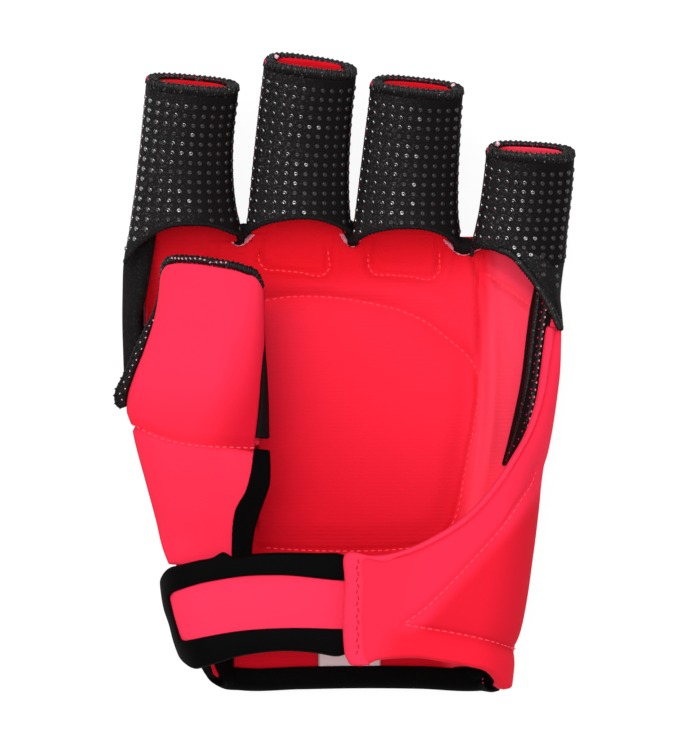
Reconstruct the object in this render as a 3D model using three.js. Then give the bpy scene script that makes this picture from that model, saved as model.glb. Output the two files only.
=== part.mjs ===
// Open-palm, half-finger field hockey glove for a left hand, lying on its back.
// X runs from the thumb side to the little finger, Y from the wrist to the
// fingertips and Z from the padded back of the hand up to the palm side.
import * as THREE from 'three';

// Main sizes of the hand, in millimetres
const handLength = 135.9;
const wristWidth = 91.8;
const seamGap = 0.3;

// Layers of the back of the hand, from the ground up
const padThickness = 5;
const padBevel = 1.2;
const coverThickness = 1;
const foamThickness = 3.5;
const liningThickness = 1;

// Rounded sides of the hand: reach inwards, and height of the fold lines
const sideReach = 12;
const rootReach = 8;
const foldHeight = 21;
const rootFoldHeight = 11.5;
const sideLimit = THREE.MathUtils.degToRad(-35);
const seamTurn = THREE.MathUtils.degToRad(3);

// Finger stalls, each a flattened tube that curls up towards its open tip. Widths,
// leans and gaps are in drawing pixels across, the others in drawing pixels along.
const stallPixels = [
  { name: 'index', width: 110, tipWidth: 92, lean: 9, gapBefore: 0, length: 156.2, rootAhead: 0,
    tilt: 8, hollow: 15, cutBack: 0 },
  { name: 'middle', width: 103, tipWidth: 93, lean: 13, gapBefore: 7, length: 166, rootAhead: 8,
    tilt: 11, hollow: 12, cutBack: 0 },
  { name: 'ring', width: 107, tipWidth: 93, lean: 9, gapBefore: 6, length: 148.2, rootAhead: 5,
    tilt: 9, hollow: 8.7, cutBack: 0 },
  { name: 'little', width: 94, tipWidth: 89, lean: 11.5, gapBefore: 10, length: 104.6, rootAhead: -17,
    tilt: 5, hollow: 2, cutBack: 8.7 },
];
const stallDepth = 13;
const stallTipDepth = 10.5;
const gripThickness = 1.2;
const stallBackThickness = 3.5;
const stallBackEdge = 1.4;
const stallPadThickness = 4;
const stallPadInset = 4;
const stallPadBreak = 1.6;
const rimHemHeight = 3.3;
const rimHemOverlap = 1.1;
const rootSlope = THREE.MathUtils.degToRad(3);
const tipSlope = THREE.MathUtils.degToRad(24);
const stallSquareness = 0.8;

// Thumb stall, which lies across the palm above the lining
const thumbCentreHeight = 32.5;
const thumbDepth = 16;
const thumbFoamThickness = 3;
const thumbRearThickness = 1.2;
const thumbHemHeight = 3;
const thumbSeamThickness = 3.2;
const thumbSeamWidth = 1.6;
const thumbSeamEndWidth = 3.6;

// Thenar panel, which runs from the thumb down under the wrist strap
const thenarThickness = 3;
const thenarWristHeight = 29.4;
const tapeThickness = 0.6;
const tapeSlack = 0.4;
const thenarTapeReach = 6.3;

// Wrist strap and the flap that closes over it
const strapThickness = 3.2;
const strapTapeReach = 7;
const strapTop = 36.2;
const flapThickness = 4.5;
const flapTapeReach = 2.6;
const flapClearance = 0.3;
const hookPatchThickness = 1.5;
const hookPatchWidth = 11;
const hookClearance = 0.8;
const wingThickness = 4.5;

// Wrist hem and care label
const hemTapeThickness = 0.9;
const hemReach = 8.8;
const labelWidth = 18.9;
const labelLength = 8;
const labelThickness = 0.4;

// Gussets of plain and dotted stretch fabric
const gussetThickness = 1.2;
const gussetRise = 5.5;
const gussetSweepShare = 0.3;
const webHeight = 5;
const webFillShare = 0.5;
const webLength = 5;

// Finishes
const coral = { color: 0xff3a58, roughness: 0.85 };
const liningRed = { color: 0xe61e3c, roughness: 0.75 };
const edgePink = { color: 0xff5a78, roughness: 0.9 };
const black = { color: 0x201e20, roughness: 0.75 };
const dottedBlack = { color: 0x2a282a, roughness: 0.8 };
const padBlack = { color: 0x262426, roughness: 0.6 };
const labelGrey = { color: 0xe4d8d8, roughness: 0.6 };

// The outlines are kept as columns and rows of a flat drawing of the glove;
// the wrist's width and the hand's length set its scale across and along.
const drawing = {
  wristLeftColumn: 201, wristRightColumn: 507, middleColumn: 344, wristRow: 693, rootRow: 240,
  indexOuterColumn: 129,
  labelColumn: 349.5, gussetLowRow: 421, edgeStripLowRow: 458, wristPanelTopRow: 571,
  knuckleMarginPixels: 10,
  thumbArchPixels: 21, thenarLowRow: 566, thenarLeftLowRow: 560,
  strapLowRow: 665, strapHighRow: 570, strapEndColumn: 384,
  flapTopRow: 345, flapEndColumn: 346, flapBowPixels: 9, hookRow: 603,
};
const acrossScale = wristWidth / (drawing.wristRightColumn - drawing.wristLeftColumn);
const alongScale = handLength / (drawing.wristRow - drawing.rootRow);

function column(pixel) {
  return (pixel - drawing.middleColumn) * acrossScale;
}

function row(pixel) {
  return (drawing.wristRow - pixel) * alongScale;
}

// Outline of the hand: how far each side has moved from the wrist's edge to the
// root of its outer finger, against the share of the hand's length
const leftEdgeShares = [
  [0, 0], [0.06, 0.12], [0.29, 0.42], [0.47, 0.75], [0.59, 0.94], [0.69, 1.02],
  [0.8, 1.04], [0.94, 1.03], [1, 1],
];
const rightEdgeShares = [
  [0, 0], [0.1, 0.17], [0.32, 0.44], [0.47, 0.58], [0.65, 0.78], [0.77, 0.87], [0.95, 1], [1, 1.01],
];

// Smooth helpers
function clamp01(value) {
  return Math.min(1, Math.max(0, value));
}

function ease(value, from, to) {
  const share = clamp01((value - from) / (to - from));
  return share * share * (3 - 2 * share);
}

function mix(from, to, share) {
  return from + (to - from) * share;
}

// Smooth curve through a table of [key, value], read at one key
function through(table, key) {
  const last = table.length - 1;
  let spot = 0;
  while (spot < last - 1 && key > table[spot + 1][0]) spot += 1;
  const [fromKey, fromValue] = table[spot];
  const [toKey, toValue] = table[spot + 1];
  const before = table[Math.max(0, spot - 1)];
  const after = table[Math.min(last, spot + 2)];
  const step = toKey - fromKey;
  const startSlope = (toValue - before[1]) / (toKey - before[0]);
  const endSlope = (after[1] - fromValue) / (after[0] - fromKey);
  const share = (key - fromKey) / step;
  const square = share * share;
  const cube = square * share;
  return (2 * cube - 3 * square + 1) * fromValue + (cube - 2 * square + share) * step * startSlope
    + (3 * square - 2 * cube) * toValue + (cube - square) * step * endSlope;
}

function steps(count) {
  return Array.from({ length: count + 1 }, (_, index) => index / count);
}

// Heights of the layers
const coverBottom = padThickness + seamGap;
const foamInset = coverThickness + seamGap;
const liningInset = foamInset + foamThickness + seamGap;
const backThickness = liningInset + liningThickness;
const liningTop = coverBottom + backThickness;
const strapWrap = tapeThickness + tapeSlack;
const flapTop = strapTop + seamGap + strapWrap + flapThickness;

// Finger stalls in millimetres, placed one after the other from the index finger's outer side
let rootCursor = column(drawing.indexOuterColumn);
const stalls = stallPixels.map((pixels) => {
  const left = rootCursor + pixels.gapBefore * acrossScale;
  const width = pixels.width * acrossScale;
  rootCursor = left + width;
  return {
    name: pixels.name,
    left,
    right: rootCursor,
    width,
    tipWidth: pixels.tipWidth * acrossScale,
    lean: pixels.lean * acrossScale,
    root: handLength + pixels.rootAhead * alongScale,
    length: pixels.length * alongScale,
    tilt: (pixels.tilt * alongScale) / (pixels.tipWidth * acrossScale),
    hollow: pixels.hollow * alongScale,
    cutBack: pixels.cutBack * alongScale,
  };
});
const rootLeft = stalls[0].left;
const rootRight = stalls[stalls.length - 1].right;
const wristLeft = column(drawing.wristLeftColumn);
const wristRight = column(drawing.wristRightColumn);

function handLeft(y) {
  return mix(wristLeft, rootLeft, through(leftEdgeShares, y / handLength));
}

function handRight(y) {
  return mix(wristRight, rootRight, through(rightEdgeShares, y / handLength));
}

// The sides get lower and rounder over this part of the hand's length
const [lowerFromShare, lowerToShare] = [0.8, 0.95];

function lowerAt(y) {
  return ease(y / handLength, lowerFromShare, lowerToShare);
}

function reachAt(y) {
  return mix(sideReach, rootReach, lowerAt(y));
}

function foldAt(y) {
  return mix(foldHeight, rootFoldHeight, lowerAt(y));
}

// A closed solid between two grids of points
function solidBetween(front, back) {
  const across = front.length;
  const along = front[0].length;
  const points = [...front.flat(), ...back.flat()];
  const faces = [];
  const quad = (a, b, c, d) => faces.push(a, b, c, a, c, d);
  const at = (i, j) => i * along + j;
  const low = (i, j) => (across + i) * along + j;
  for (let i = 0; i < across - 1; i += 1) {
    for (let j = 0; j < along - 1; j += 1) {
      quad(at(i, j), at(i + 1, j), at(i + 1, j + 1), at(i, j + 1));
      quad(low(i, j), low(i, j + 1), low(i + 1, j + 1), low(i + 1, j));
    }
    const end = along - 1;
    quad(at(i, 0), low(i, 0), low(i + 1, 0), at(i + 1, 0));
    quad(at(i, end), at(i + 1, end), low(i + 1, end), low(i, end));
  }
  const side = across - 1;
  for (let j = 0; j < along - 1; j += 1) {
    quad(at(0, j), at(0, j + 1), low(0, j + 1), low(0, j));
    quad(at(side, j), low(side, j), low(side, j + 1), at(side, j + 1));
  }
  return solidFrom(points, faces);
}

// A closed solid through rings of points, which itself closes on its first ring or is capped
function solidThrough(rings, closed) {
  const around = rings[0].length;
  const faces = [];
  const at = (ring, spot) => (ring % rings.length) * around + (spot % around);
  const spans = closed ? rings.length : rings.length - 1;
  for (let ring = 0; ring < spans; ring += 1) {
    for (let spot = 0; spot < around; spot += 1) {
      const [a, b] = [at(ring, spot), at(ring, spot + 1)];
      const [c, d] = [at(ring + 1, spot + 1), at(ring + 1, spot)];
      faces.push(a, b, c, a, c, d);
    }
  }
  if (!closed) {
    for (let spot = 1; spot < around - 1; spot += 1) {
      faces.push(at(0, 0), at(0, spot + 1), at(0, spot));
      faces.push(at(spans, 0), at(spans, spot), at(spans, spot + 1));
    }
  }
  return solidFrom(rings.flat(), faces);
}

// Triangles with their outsides facing out, whichever way the grid was wound
function solidFrom(points, faces) {
  let volume = 0;
  const cross = new THREE.Vector3();
  for (let k = 0; k < faces.length; k += 3) {
    cross.crossVectors(points[faces[k + 1]], points[faces[k + 2]]);
    volume += points[faces[k]].dot(cross);
  }
  if (volume < 0) faces.reverse();
  const geometry = new THREE.BufferGeometry();
  geometry.setFromPoints(points);
  geometry.setIndex(faces);
  geometry.computeVertexNormals();
  return geometry;
}

const tiny = 1e-3;

function grid(across, along, place) {
  return across.map((u) => along.map((v) => place(u, v)));
}

// A sheet of even thickness on one side of a surface given by place(u, v)
function thicken(across, along, place, thickness) {
  const offset = (u, v, depth) => {
    const here = place(u, v);
    const side = place(u + tiny, v).sub(place(u - tiny, v));
    const ahead = place(u, v + tiny).sub(place(u, v - tiny));
    const normal = side.cross(ahead).normalize();
    return here.addScaledVector(normal, -depth);
  };
  const front = grid(across, along, (u, v) => offset(u, v, 0));
  const back = grid(across, along, (u, v) => offset(u, v, thickness));
  return solidBetween(front, back);
}

const glove = new THREE.Group();

function addPiece(name, geometry, finish) {
  const material = new THREE.MeshStandardMaterial({ ...finish, metalness: 0 });
  const mesh = new THREE.Mesh(geometry, material);
  mesh.name = name;
  glove.add(mesh);
  return mesh;
}

// Side of the hand: a quarter round below the fold line and one above it.
// The inset is measured inwards from the outer skin.
function wallPoint(side, y, angle, inset, rise = sideReach) {
  const edge = side < 0 ? handLeft(y) : handRight(y);
  const reach = reachAt(y);
  const fold = foldAt(y);
  const tall = angle < 0 ? fold - coverBottom : rise;
  const x = edge - side * (reach - (reach - inset) * Math.cos(angle));
  return new THREE.Vector3(x, y, fold + (tall - inset) * Math.sin(angle));
}

// Columns of the back of the hand: the two rounded sides, and between them the
// floor with a column at each corner and middle of every finger root
const sideSteps = steps(4).slice(0, -1);
const floorLeft = rootLeft + rootReach;
const floorWidth = rootRight - rootReach - floorLeft;
const handColumns = [];
for (const share of sideSteps) {
  handColumns.push({ side: -1, turn: 1 - share, root: stalls[0].root });
}
for (const stall of stalls) {
  const spots = [Math.max(stall.left, floorLeft), (stall.left + stall.right) / 2,
    Math.min(stall.right, floorLeft + floorWidth)];
  for (const x of spots) {
    handColumns.push({ side: 0, share: (x - floorLeft) / floorWidth, root: stall.root });
  }
}
for (const share of [...sideSteps].reverse()) {
  handColumns.push({ side: 1, turn: 1 - share, root: stalls[stalls.length - 1].root });
}

function handPoint(spot, y, inset) {
  if (spot.side !== 0) {
    const angle = mix(-Math.PI / 2, sideLimit, spot.turn);
    return wallPoint(spot.side, y, angle, inset);
  }
  const reach = reachAt(y);
  const left = handLeft(y) + reach;
  const right = handRight(y) - reach;
  return new THREE.Vector3(mix(left, right, spot.share), y, coverBottom + inset);
}

const layerStart = hemTapeThickness + seamGap;
const handRowShares = [0, 0.057, 0.2, 0.35, 0.5, 0.65, 0.78, 0.86, 0.93, 1];

function handLayer(inset, thickness) {
  const y = (spot, share) => mix(layerStart, spot.root - seamGap, share);
  const front = grid(handColumns, handRowShares, (spot, share) => handPoint(spot, y(spot, share), inset));
  const back = grid(handColumns, handRowShares,
    (spot, share) => handPoint(spot, y(spot, share), inset + thickness));
  return solidBetween(front, back);
}

addPiece('back_cover', handLayer(0, coverThickness), padBlack);
addPiece('back_foam', handLayer(foamInset, foamThickness), coral);
addPiece('back_lining', handLayer(liningInset, liningThickness), liningRed);

// Hem tape folded round the wrist edge of all three layers
const hemInside = backThickness + seamGap;
const hemSection = [
  [hemReach, hemInside, hemReach, hemInside + hemTapeThickness],
  [hemTapeThickness, hemInside, 0, hemInside + hemTapeThickness],
  [hemTapeThickness, -seamGap, 0, -seamGap - hemTapeThickness],
  [hemReach, -seamGap, hemReach, -seamGap - hemTapeThickness],
];
const hemInner = hemSection.map(([y, inset]) => handColumns.map((spot) => handPoint(spot, y, inset)));
const hemOuter = hemSection.map(([, , y, inset]) => handColumns.map((spot) => handPoint(spot, y, inset)));
addPiece('hem_binding', solidBetween(hemInner, hemOuter), black);

// Moulded pads on the outer side, flat underneath
const outlineTension = 0.35;
const stepsPerSpot = 2;

function outline(points) {
  const curve = new THREE.CatmullRomCurve3(points.map(([x, y]) => new THREE.Vector3(x, y, 0)), true,
    'catmullrom', outlineTension);
  const rim = curve.getPoints(points.length * stepsPerSpot);
  return new THREE.Shape(rim.map(({ x, y }) => new THREE.Vector2(x, y)));
}

function mouldedPad(points) {
  const geometry = new THREE.ExtrudeGeometry(outline(points), {
    depth: padThickness - 2 * padBevel,
    bevelThickness: padBevel,
    bevelSize: padBevel,
    bevelOffset: -padBevel,
    bevelSegments: 1,
  });
  geometry.translate(0, 0, padBevel);
  return geometry;
}

function roundedBox(left, right, bottom, top, corner) {
  return [
    [left + corner, bottom], [right - corner, bottom], [right, bottom + corner], [right, top - corner],
    [right - corner, top], [left + corner, top], [left, top - corner], [left, bottom + corner],
  ];
}

const handPadPixels = [
  [265, 300], [330, 297], [400, 310], [450, 340], [480, 375], [474, 430], [455, 520], [445, 543],
  [350, 550], [258, 548], [256, 440],
];
const sidePadPixels = [
  [150, 304], [200, 300], [250, 304], [244, 430], [244, 540], [208, 546], [186, 480], [158, 400],
];
const wristPadPixels = [
  [240, 566], [350, 562], [465, 562], [468, 610], [462, 640], [350, 644], [248, 640], [238, 600],
];
const toGrid = ([x, y]) => [column(x), row(y)];
addPiece('hand_pad', mouldedPad(handPadPixels.map(toGrid)), padBlack);
addPiece('metacarpal_pad', mouldedPad(sidePadPixels.map(toGrid)), padBlack);
addPiece('wrist_pad', mouldedPad(wristPadPixels.map(toGrid)), padBlack);

// Knuckle pads: each runs from near its finger's root towards the pads on the hand
const knucklePadGap = 2;
const knuckleCornerShare = 0.27;
const knucklePadMargin = drawing.knuckleMarginPixels * alongScale;
const sidePadTopRow = Math.min(...sidePadPixels.map(([, y]) => y));
const knucklePadLength = handLength - knucklePadMargin - row(sidePadTopRow) - knucklePadGap;
const knucklePadCorner = knucklePadLength * knuckleCornerShare;
for (const stall of stalls) {
  const top = stall.root - knucklePadMargin;
  const points = roundedBox(stall.left + knucklePadMargin, stall.right - knucklePadMargin,
    top - knucklePadLength, top, knucklePadCorner);
  addPiece(`knuckle_pad_${stall.name}`, mouldedPad(points), padBlack);
}

// Care label, blank, on the lining beside the hem
const label = new THREE.BoxGeometry(labelWidth, labelLength, labelThickness);
label.translate(column(drawing.labelColumn), hemReach + seamGap + labelLength / 2,
  liningTop + seamGap + labelThickness / 2);
addPiece('care_label', label, labelGrey);

// Side panels that rise from the layered back to the fold lines
const wallSteps = steps(5);

function sidePanel(side, fromY, toY, rows, fromAngle, toAngle, thickness, shape = {}) {
  const rise = shape.rise ?? (() => sideReach);
  const inset = shape.inset ?? 0;
  const shift = shape.shift ?? (() => 0);
  const lastAngle = typeof toAngle === 'function' ? toAngle : () => toAngle;
  const place = (u, v, depth) => {
    const y = mix(fromY, toY, v);
    const point = wallPoint(side, y, mix(fromAngle, lastAngle(y), u), inset + depth, rise(y));
    point.x += shift(y) * u;
    return point;
  };
  const front = grid(wallSteps, steps(rows), (u, v) => place(u, v, 0));
  const back = grid(wallSteps, steps(rows), (u, v) => place(u, v, thickness));
  return solidBetween(front, back);
}

const wallStart = sideLimit + seamTurn;
const wallEnd = -seamGap / (foldHeight - coverBottom);
const wingEnd = row(drawing.flapTopRow);
addPiece('side_wing', sidePanel(1, layerStart, wingEnd, 8, wallStart, wallEnd, wingThickness), coral);

// Strap fold line, a little outside the hand's own edge
const strapFoldPixels = [[667, 187], [625, 175], [590, 165], [566, 160]];
const strapFold = strapFoldPixels.map(([y, x]) => [row(y), column(x)]);

function strapFoldAt(y) {
  return through(strapFold, Math.min(row(drawing.strapHighRow), Math.max(row(drawing.strapLowRow), y)));
}

function strapShift(y) {
  return strapFoldAt(y) - handLeft(y);
}

addPiece('wrist_side_panel', sidePanel(-1, layerStart, row(drawing.wristPanelTopRow), 4, wallStart, wallEnd,
  wingThickness, { shift: strapShift }), coral);

// Stretch-fabric gussets beside the index and little fingers. Near the finger
// roots they stay low, so that the stalls can curl over them.
function gussetRiseAt(root) {
  return (y) => Math.min(gussetRise, gussetSweepShare * (root - y));
}

const indexGussetTurn = THREE.MathUtils.degToRad(72);
const indexGussetLowTurn = THREE.MathUtils.degToRad(42);
const gussetWidenShares = [0.66, 0.88];
const gussetNarrowShares = [0.91, 0.99];
const indexTurnAt = (y) => mix(indexGussetLowTurn, indexGussetTurn,
  ease(y / handLength, ...gussetWidenShares) - ease(y / handLength, ...gussetNarrowShares));
const littleGussetTurn = THREE.MathUtils.degToRad(55);
const littleRoot = stalls[stalls.length - 1].root;
const indexRoot = stalls[0].root;
addPiece('index_side_gusset', sidePanel(-1, row(drawing.gussetLowRow), indexRoot - seamGap, 9, wallStart,
  indexTurnAt, gussetThickness, { rise: gussetRiseAt(indexRoot) }), black);
addPiece('little_side_gusset', sidePanel(1, wingEnd + seamGap, littleRoot - seamGap, 5, wallStart,
  littleGussetTurn, gussetThickness, { rise: gussetRiseAt(littleRoot) }), dottedBlack);
addPiece('palm_edge_strip', sidePanel(1, row(drawing.edgeStripLowRow), wingEnd, 6, wallStart, wallEnd,
  gussetThickness, { inset: wingThickness + seamGap }), dottedBlack);

// Finger stalls
function stallFrame(stall, along) {
  const turn = (tipSlope - rootSlope) / stall.length;
  const slope = rootSlope + turn * along;
  const share = along / stall.length;
  const y = stall.root + (Math.sin(slope) - Math.sin(rootSlope)) / turn;
  const rise = (Math.cos(rootSlope) - Math.cos(slope)) / turn;
  const x = (stall.left + stall.right) / 2 + stall.lean * share;
  return { x, y, rise, slope, share };
}

// A point on the stall's wall: the angle runs from the little-finger side over
// the palm side, and the inset is measured inwards from the grip fabric.
function stallPoint(stall, along, angle, inset) {
  const frame = stallFrame(stall, along);
  const halfAcross = mix(stall.width, stall.tipWidth, ease(frame.share, 0, 1)) / 2 - inset;
  const halfDeep = mix(stallDepth, stallTipDepth, frame.share) / 2 + gripThickness - inset;
  const cosine = Math.cos(angle);
  const sine = Math.sin(angle);
  const across = halfAcross * Math.sign(cosine) * Math.abs(cosine) ** stallSquareness;
  const deep = halfDeep * Math.sign(sine) * Math.abs(sine) ** stallSquareness;
  const centre = liningTop + stallDepth / 2;
  const y = frame.y - deep * Math.sin(frame.slope) - across * stall.tilt * frame.share;
  return new THREE.Vector3(frame.x + across, y, centre + frame.rise + deep * Math.cos(frame.slope));
}

const stallSeam = THREE.MathUtils.degToRad(1.2);
const hollowPower = 1.5;
const backThinShare = 0.6;
const stallPadShares = [0.25, 0.75];
const stallPadRimShare = 0.55;
const stallRows = steps(6);
const rimTurns = steps(20).slice(0, -1);
const beadTurns = steps(5).slice(0, -1);

for (const stall of stalls) {
  // Palm side: grip fabric, cut in an arc over the palm
  const gripStart = (u) => {
    const arc = stall.hollow * Math.sin(Math.PI * u) ** hollowPower;
    return seamGap + arc + stall.cutBack * u;
  };
  const gripPlace = (u, v, inset) => {
    const angle = mix(stallSeam, Math.PI - stallSeam, u);
    return stallPoint(stall, mix(gripStart(u), stall.length, v), angle, inset);
  };
  const gripTurns = steps(12);
  addPiece(`${stall.name}_grip_panel`, solidBetween(
    grid(gripTurns, stallRows, (u, v) => gripPlace(u, v, 0)),
    grid(gripTurns, stallRows, (u, v) => gripPlace(u, v, gripThickness))), dottedBlack);

  // Outer side: padded panel, thickest in its middle
  const backDepth = (u, along) => {
    const share = along / stall.length;
    const full = mix(stallBackThickness, stallBackEdge, ease(share, backThinShare, 1));
    return mix(stallBackEdge, full, Math.sin(Math.PI * u));
  };
  const backPlace = (u, v, depth) => {
    const angle = mix(-stallSeam, stallSeam - Math.PI, u);
    const along = mix(0, stall.length, v);
    return stallPoint(stall, along, angle, gripThickness - depth * backDepth(u, along));
  };
  const backTurns = steps(8);
  addPiece(`${stall.name}_back_panel`, solidBetween(
    grid(backTurns, stallRows, (u, v) => backPlace(u, v, 0)),
    grid(backTurns, stallRows, (u, v) => backPlace(u, v, 1))), black);

  // Two moulded pads on the outer side, with a break where the finger bends
  const padLength = (stall.length - stallPadBreak - stallPadInset) / 2;
  const padStarts = [seamGap + stallPadInset / 2, seamGap + stallPadInset / 2 + padLength + stallPadBreak];
  const padNames = ['root_pad', 'tip_pad'];
  padStarts.forEach((start, order) => {
    const place = (u, v, depth) => {
      const backShare = mix(...stallPadShares, u);
      const angle = mix(-stallSeam, stallSeam - Math.PI, backShare);
      const along = start + padLength * v;
      const crown = mix(stallPadRimShare, 1, Math.sin(Math.PI * u));
      const skin = backDepth(backShare, along) + seamGap;
      return stallPoint(stall, along, angle, gripThickness - skin - depth * stallPadThickness * crown);
    };
    const turns = steps(4);
    addPiece(`${stall.name}_${padNames[order]}`, solidBetween(
      grid(turns, steps(3), (u, v) => place(u, v, 0)),
      grid(turns, steps(3), (u, v) => place(u, v, 1))), padBlack);
  });

  // Overlocked hem round the open tip
  const beadHalf = rimHemHeight / 2;
  const beadCentre = stall.length + seamGap + beadHalf;
  const beadWide = (gripThickness + rimHemOverlap) / 2;
  const rings = rimTurns.map((turn) => beadTurns.map((spot) => {
    const angle = 2 * Math.PI * turn;
    const roll = 2 * Math.PI * spot;
    const along = beadCentre + beadHalf * Math.cos(roll);
    return stallPoint(stall, along, angle, gripThickness / 2 + beadWide * Math.sin(roll));
  }));
  addPiece(`${stall.name}_rim_hem`, solidThrough(rings, true), black);
}

// Webs in the gaps between the finger roots
for (let order = 1; order < stalls.length; order += 1) {
  const before = stalls[order - 1];
  const after = stalls[order];
  const gapWidth = after.left - before.right;
  const root = Math.min(before.root, after.root);
  const web = new THREE.Shape();
  web.moveTo(0, 0);
  web.lineTo(webLength, 0);
  web.lineTo(webLength, webHeight);
  web.quadraticCurveTo(webLength / 2, webHeight, 0, 0);
  const depth = gapWidth * webFillShare;
  const geometry = new THREE.ExtrudeGeometry(web, { depth, bevelEnabled: false, curveSegments: 5 });
  geometry.rotateX(Math.PI / 2);
  geometry.rotateZ(Math.PI / 2);
  const left = before.right + (gapWidth - depth) / 2;
  geometry.translate(left, root - webLength - seamGap, liningTop + seamGap);
  addPiece(`finger_web_${before.name}_${after.name}`, geometry, black);
}

// Thumb stall: a tube from the slanted flex line to the open tip
const flexLeftPixel = [131, 425];
const flexRightPixel = [273, 452];
const rimLeftPixel = [159, 285];
const rimRightPixel = [264, 291];
const thumbLeftPixels = [[0, 131], [0.25, 134], [0.5, 143], [0.8, 154], [1, 159]];
const thumbRightPixels = [[0, 273], [0.25, 271], [0.5, 267.5], [0.8, 265], [1, 264]];
const thumbArch = drawing.thumbArchPixels * alongScale;
const flexLeft = new THREE.Vector2(...toGrid(flexLeftPixel));
const flexRight = new THREE.Vector2(...toGrid(flexRightPixel));
const rimLeft = new THREE.Vector2(...toGrid(rimLeftPixel));
const rimRight = new THREE.Vector2(...toGrid(rimRightPixel));

function thumbPoint(share, angle, inset, beyond = 0) {
  const left = column(through(thumbLeftPixels, share));
  const right = column(through(thumbRightPixels, share));
  const halfAcross = (right - left) / 2 - inset;
  const cosine = Math.cos(angle);
  const sine = Math.sin(angle);
  const across = Math.sign(cosine) * Math.abs(cosine) ** stallSquareness;
  const side = (across + 1) / 2;
  const start = mix(flexLeft.y, flexRight.y, side);
  const arch = sine > 0 ? thumbArch * sine : 0;
  const end = mix(rimLeft.y, rimRight.y, side) + arch;
  const halfDeep = thumbDepth / 2 - inset;
  const deep = halfDeep * Math.sign(sine) * Math.abs(sine) ** stallSquareness;
  return new THREE.Vector3((left + right) / 2 + halfAcross * across, mix(start, end, share) + beyond,
    thumbCentreHeight + deep);
}

const thumbRows = steps(7);
const thumbFirstShare = 0.016;
const thumbSeamTurnShare = 0.5;
const foamPower = 0.5;
const thumbSeamTurn = THREE.MathUtils.degToRad(2);
const thumbSeamLowTurn = THREE.MathUtils.degToRad(38);
const thumbShare = (v) => mix(thumbFirstShare, 1, v);
const rightSeamTurn = (share) => mix(thumbSeamLowTurn, thumbSeamTurn, ease(share, 0, thumbSeamTurnShare));

function thumbFrontPlace(u, v, depth) {
  const share = thumbShare(v);
  const angle = mix(rightSeamTurn(share) + thumbSeamTurn, Math.PI - thumbSeamTurn, u);
  const thick = mix(thumbRearThickness, thumbFoamThickness, Math.sin(Math.PI * u) ** foamPower);
  return thumbPoint(share, angle, depth * thick);
}

function thumbRearPlace(u, v, depth) {
  const share = thumbShare(v);
  const angle = mix(rightSeamTurn(share) - thumbSeamTurn, thumbSeamTurn - Math.PI, u);
  return thumbPoint(share, angle, depth * thumbRearThickness);
}

const thumbTurns = steps(12);
addPiece('thumb_front_panel', solidBetween(
  grid(thumbTurns, thumbRows, (u, v) => thumbFrontPlace(u, v, 0)),
  grid(thumbTurns, thumbRows, (u, v) => thumbFrontPlace(u, v, 1))), coral);
addPiece('thumb_rear_panel', solidBetween(
  grid(thumbTurns, thumbRows, (u, v) => thumbRearPlace(u, v, 0)),
  grid(thumbTurns, thumbRows, (u, v) => thumbRearPlace(u, v, 1))), dottedBlack);

const thumbBeadHalf = thumbHemHeight / 2;
const thumbBeadWide = (thumbFoamThickness + rimHemOverlap) / 2;
const thumbRimRings = rimTurns.map((turn) => beadTurns.map((spot) => {
  const angle = 2 * Math.PI * turn;
  const roll = 2 * Math.PI * spot;
  const beyond = seamGap + thumbBeadHalf + thumbBeadHalf * Math.cos(roll);
  const inset = thumbFoamThickness / 2 + thumbBeadWide * Math.sin(roll);
  return thumbPoint(1, angle, inset - rimHemOverlap / 2, beyond);
}));
addPiece('thumb_rim_hem', solidThrough(thumbRimRings, true), black);

// Overlocked seam down the outer side of the thumb, which ends in a round tab
const thumbSeamShares = [1, 0.9, 0.75, 0.6, 0.45, 0.32, 0.22, 0.14, 0.09];
const seamWidenShares = [0.5, 0.25];
const seamTabShares = [0.09, 0.2];
const tabEndWidthShare = 0.35;
const tabEndHeightShare = 0.4;
const thumbSeamRings = thumbSeamShares.map((share) => {
  const low = ease(share, ...seamWidenShares);
  const tab = ease(share, ...seamTabShares);
  const width = mix(thumbSeamWidth, thumbSeamEndWidth, low) * mix(tabEndWidthShare, 1, tab);
  const tall = thumbSeamThickness * mix(tabEndHeightShare, 1, tab);
  return steps(8).slice(0, -1).map((spot) => {
    const roll = 2 * Math.PI * spot;
    const point = thumbPoint(share, Math.PI, 0);
    point.x += width / 2 * (Math.cos(roll) - 1) - seamGap;
    point.z += tall / 2 * Math.sin(roll);
    return point;
  });
});
addPiece('thumb_side_seam', solidThrough(thumbSeamRings, false), black);

// Thenar panel: rises from the hand's edge, turns over and ends in a taped edge.
// Each section is a curve through points set by the heights at that row.
const thenarRightPixels = [[566, 250], [540, 252], [520, 256], [495, 265], [470, 271], [452, 269]];
const thenarTopShares = [[0, 0], [0.18, 0.06], [0.45, 0.5], [0.75, 0.9], [0.9, 0.99], [1, 1]];
const thenarRight = thenarRightPixels.map(([y, x]) => [row(y), column(x)]);
const thenarStart = row(drawing.thenarLowRow);
const thenarLeftStart = row(drawing.thenarLeftLowRow);
const thumbTop = thumbCentreHeight + thumbDepth / 2;
const thenarFlexGap = 2 * seamGap;
const thenarFoldShare = 0.42;
const thenarShoulderShare = 0.72;
const thenarShoulderSideShare = 0.5;
const thenarTurnShare = 0.12;
const thenarEndDropShares = [0.125, 0.333];

// Spots over the palm: share of the way across, and share of the drop at the free edge
const thenarTopSpotShares = [[0.34, 0], [0.66, 0.06], [0.88, 0.4], [1, 1]];

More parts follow.
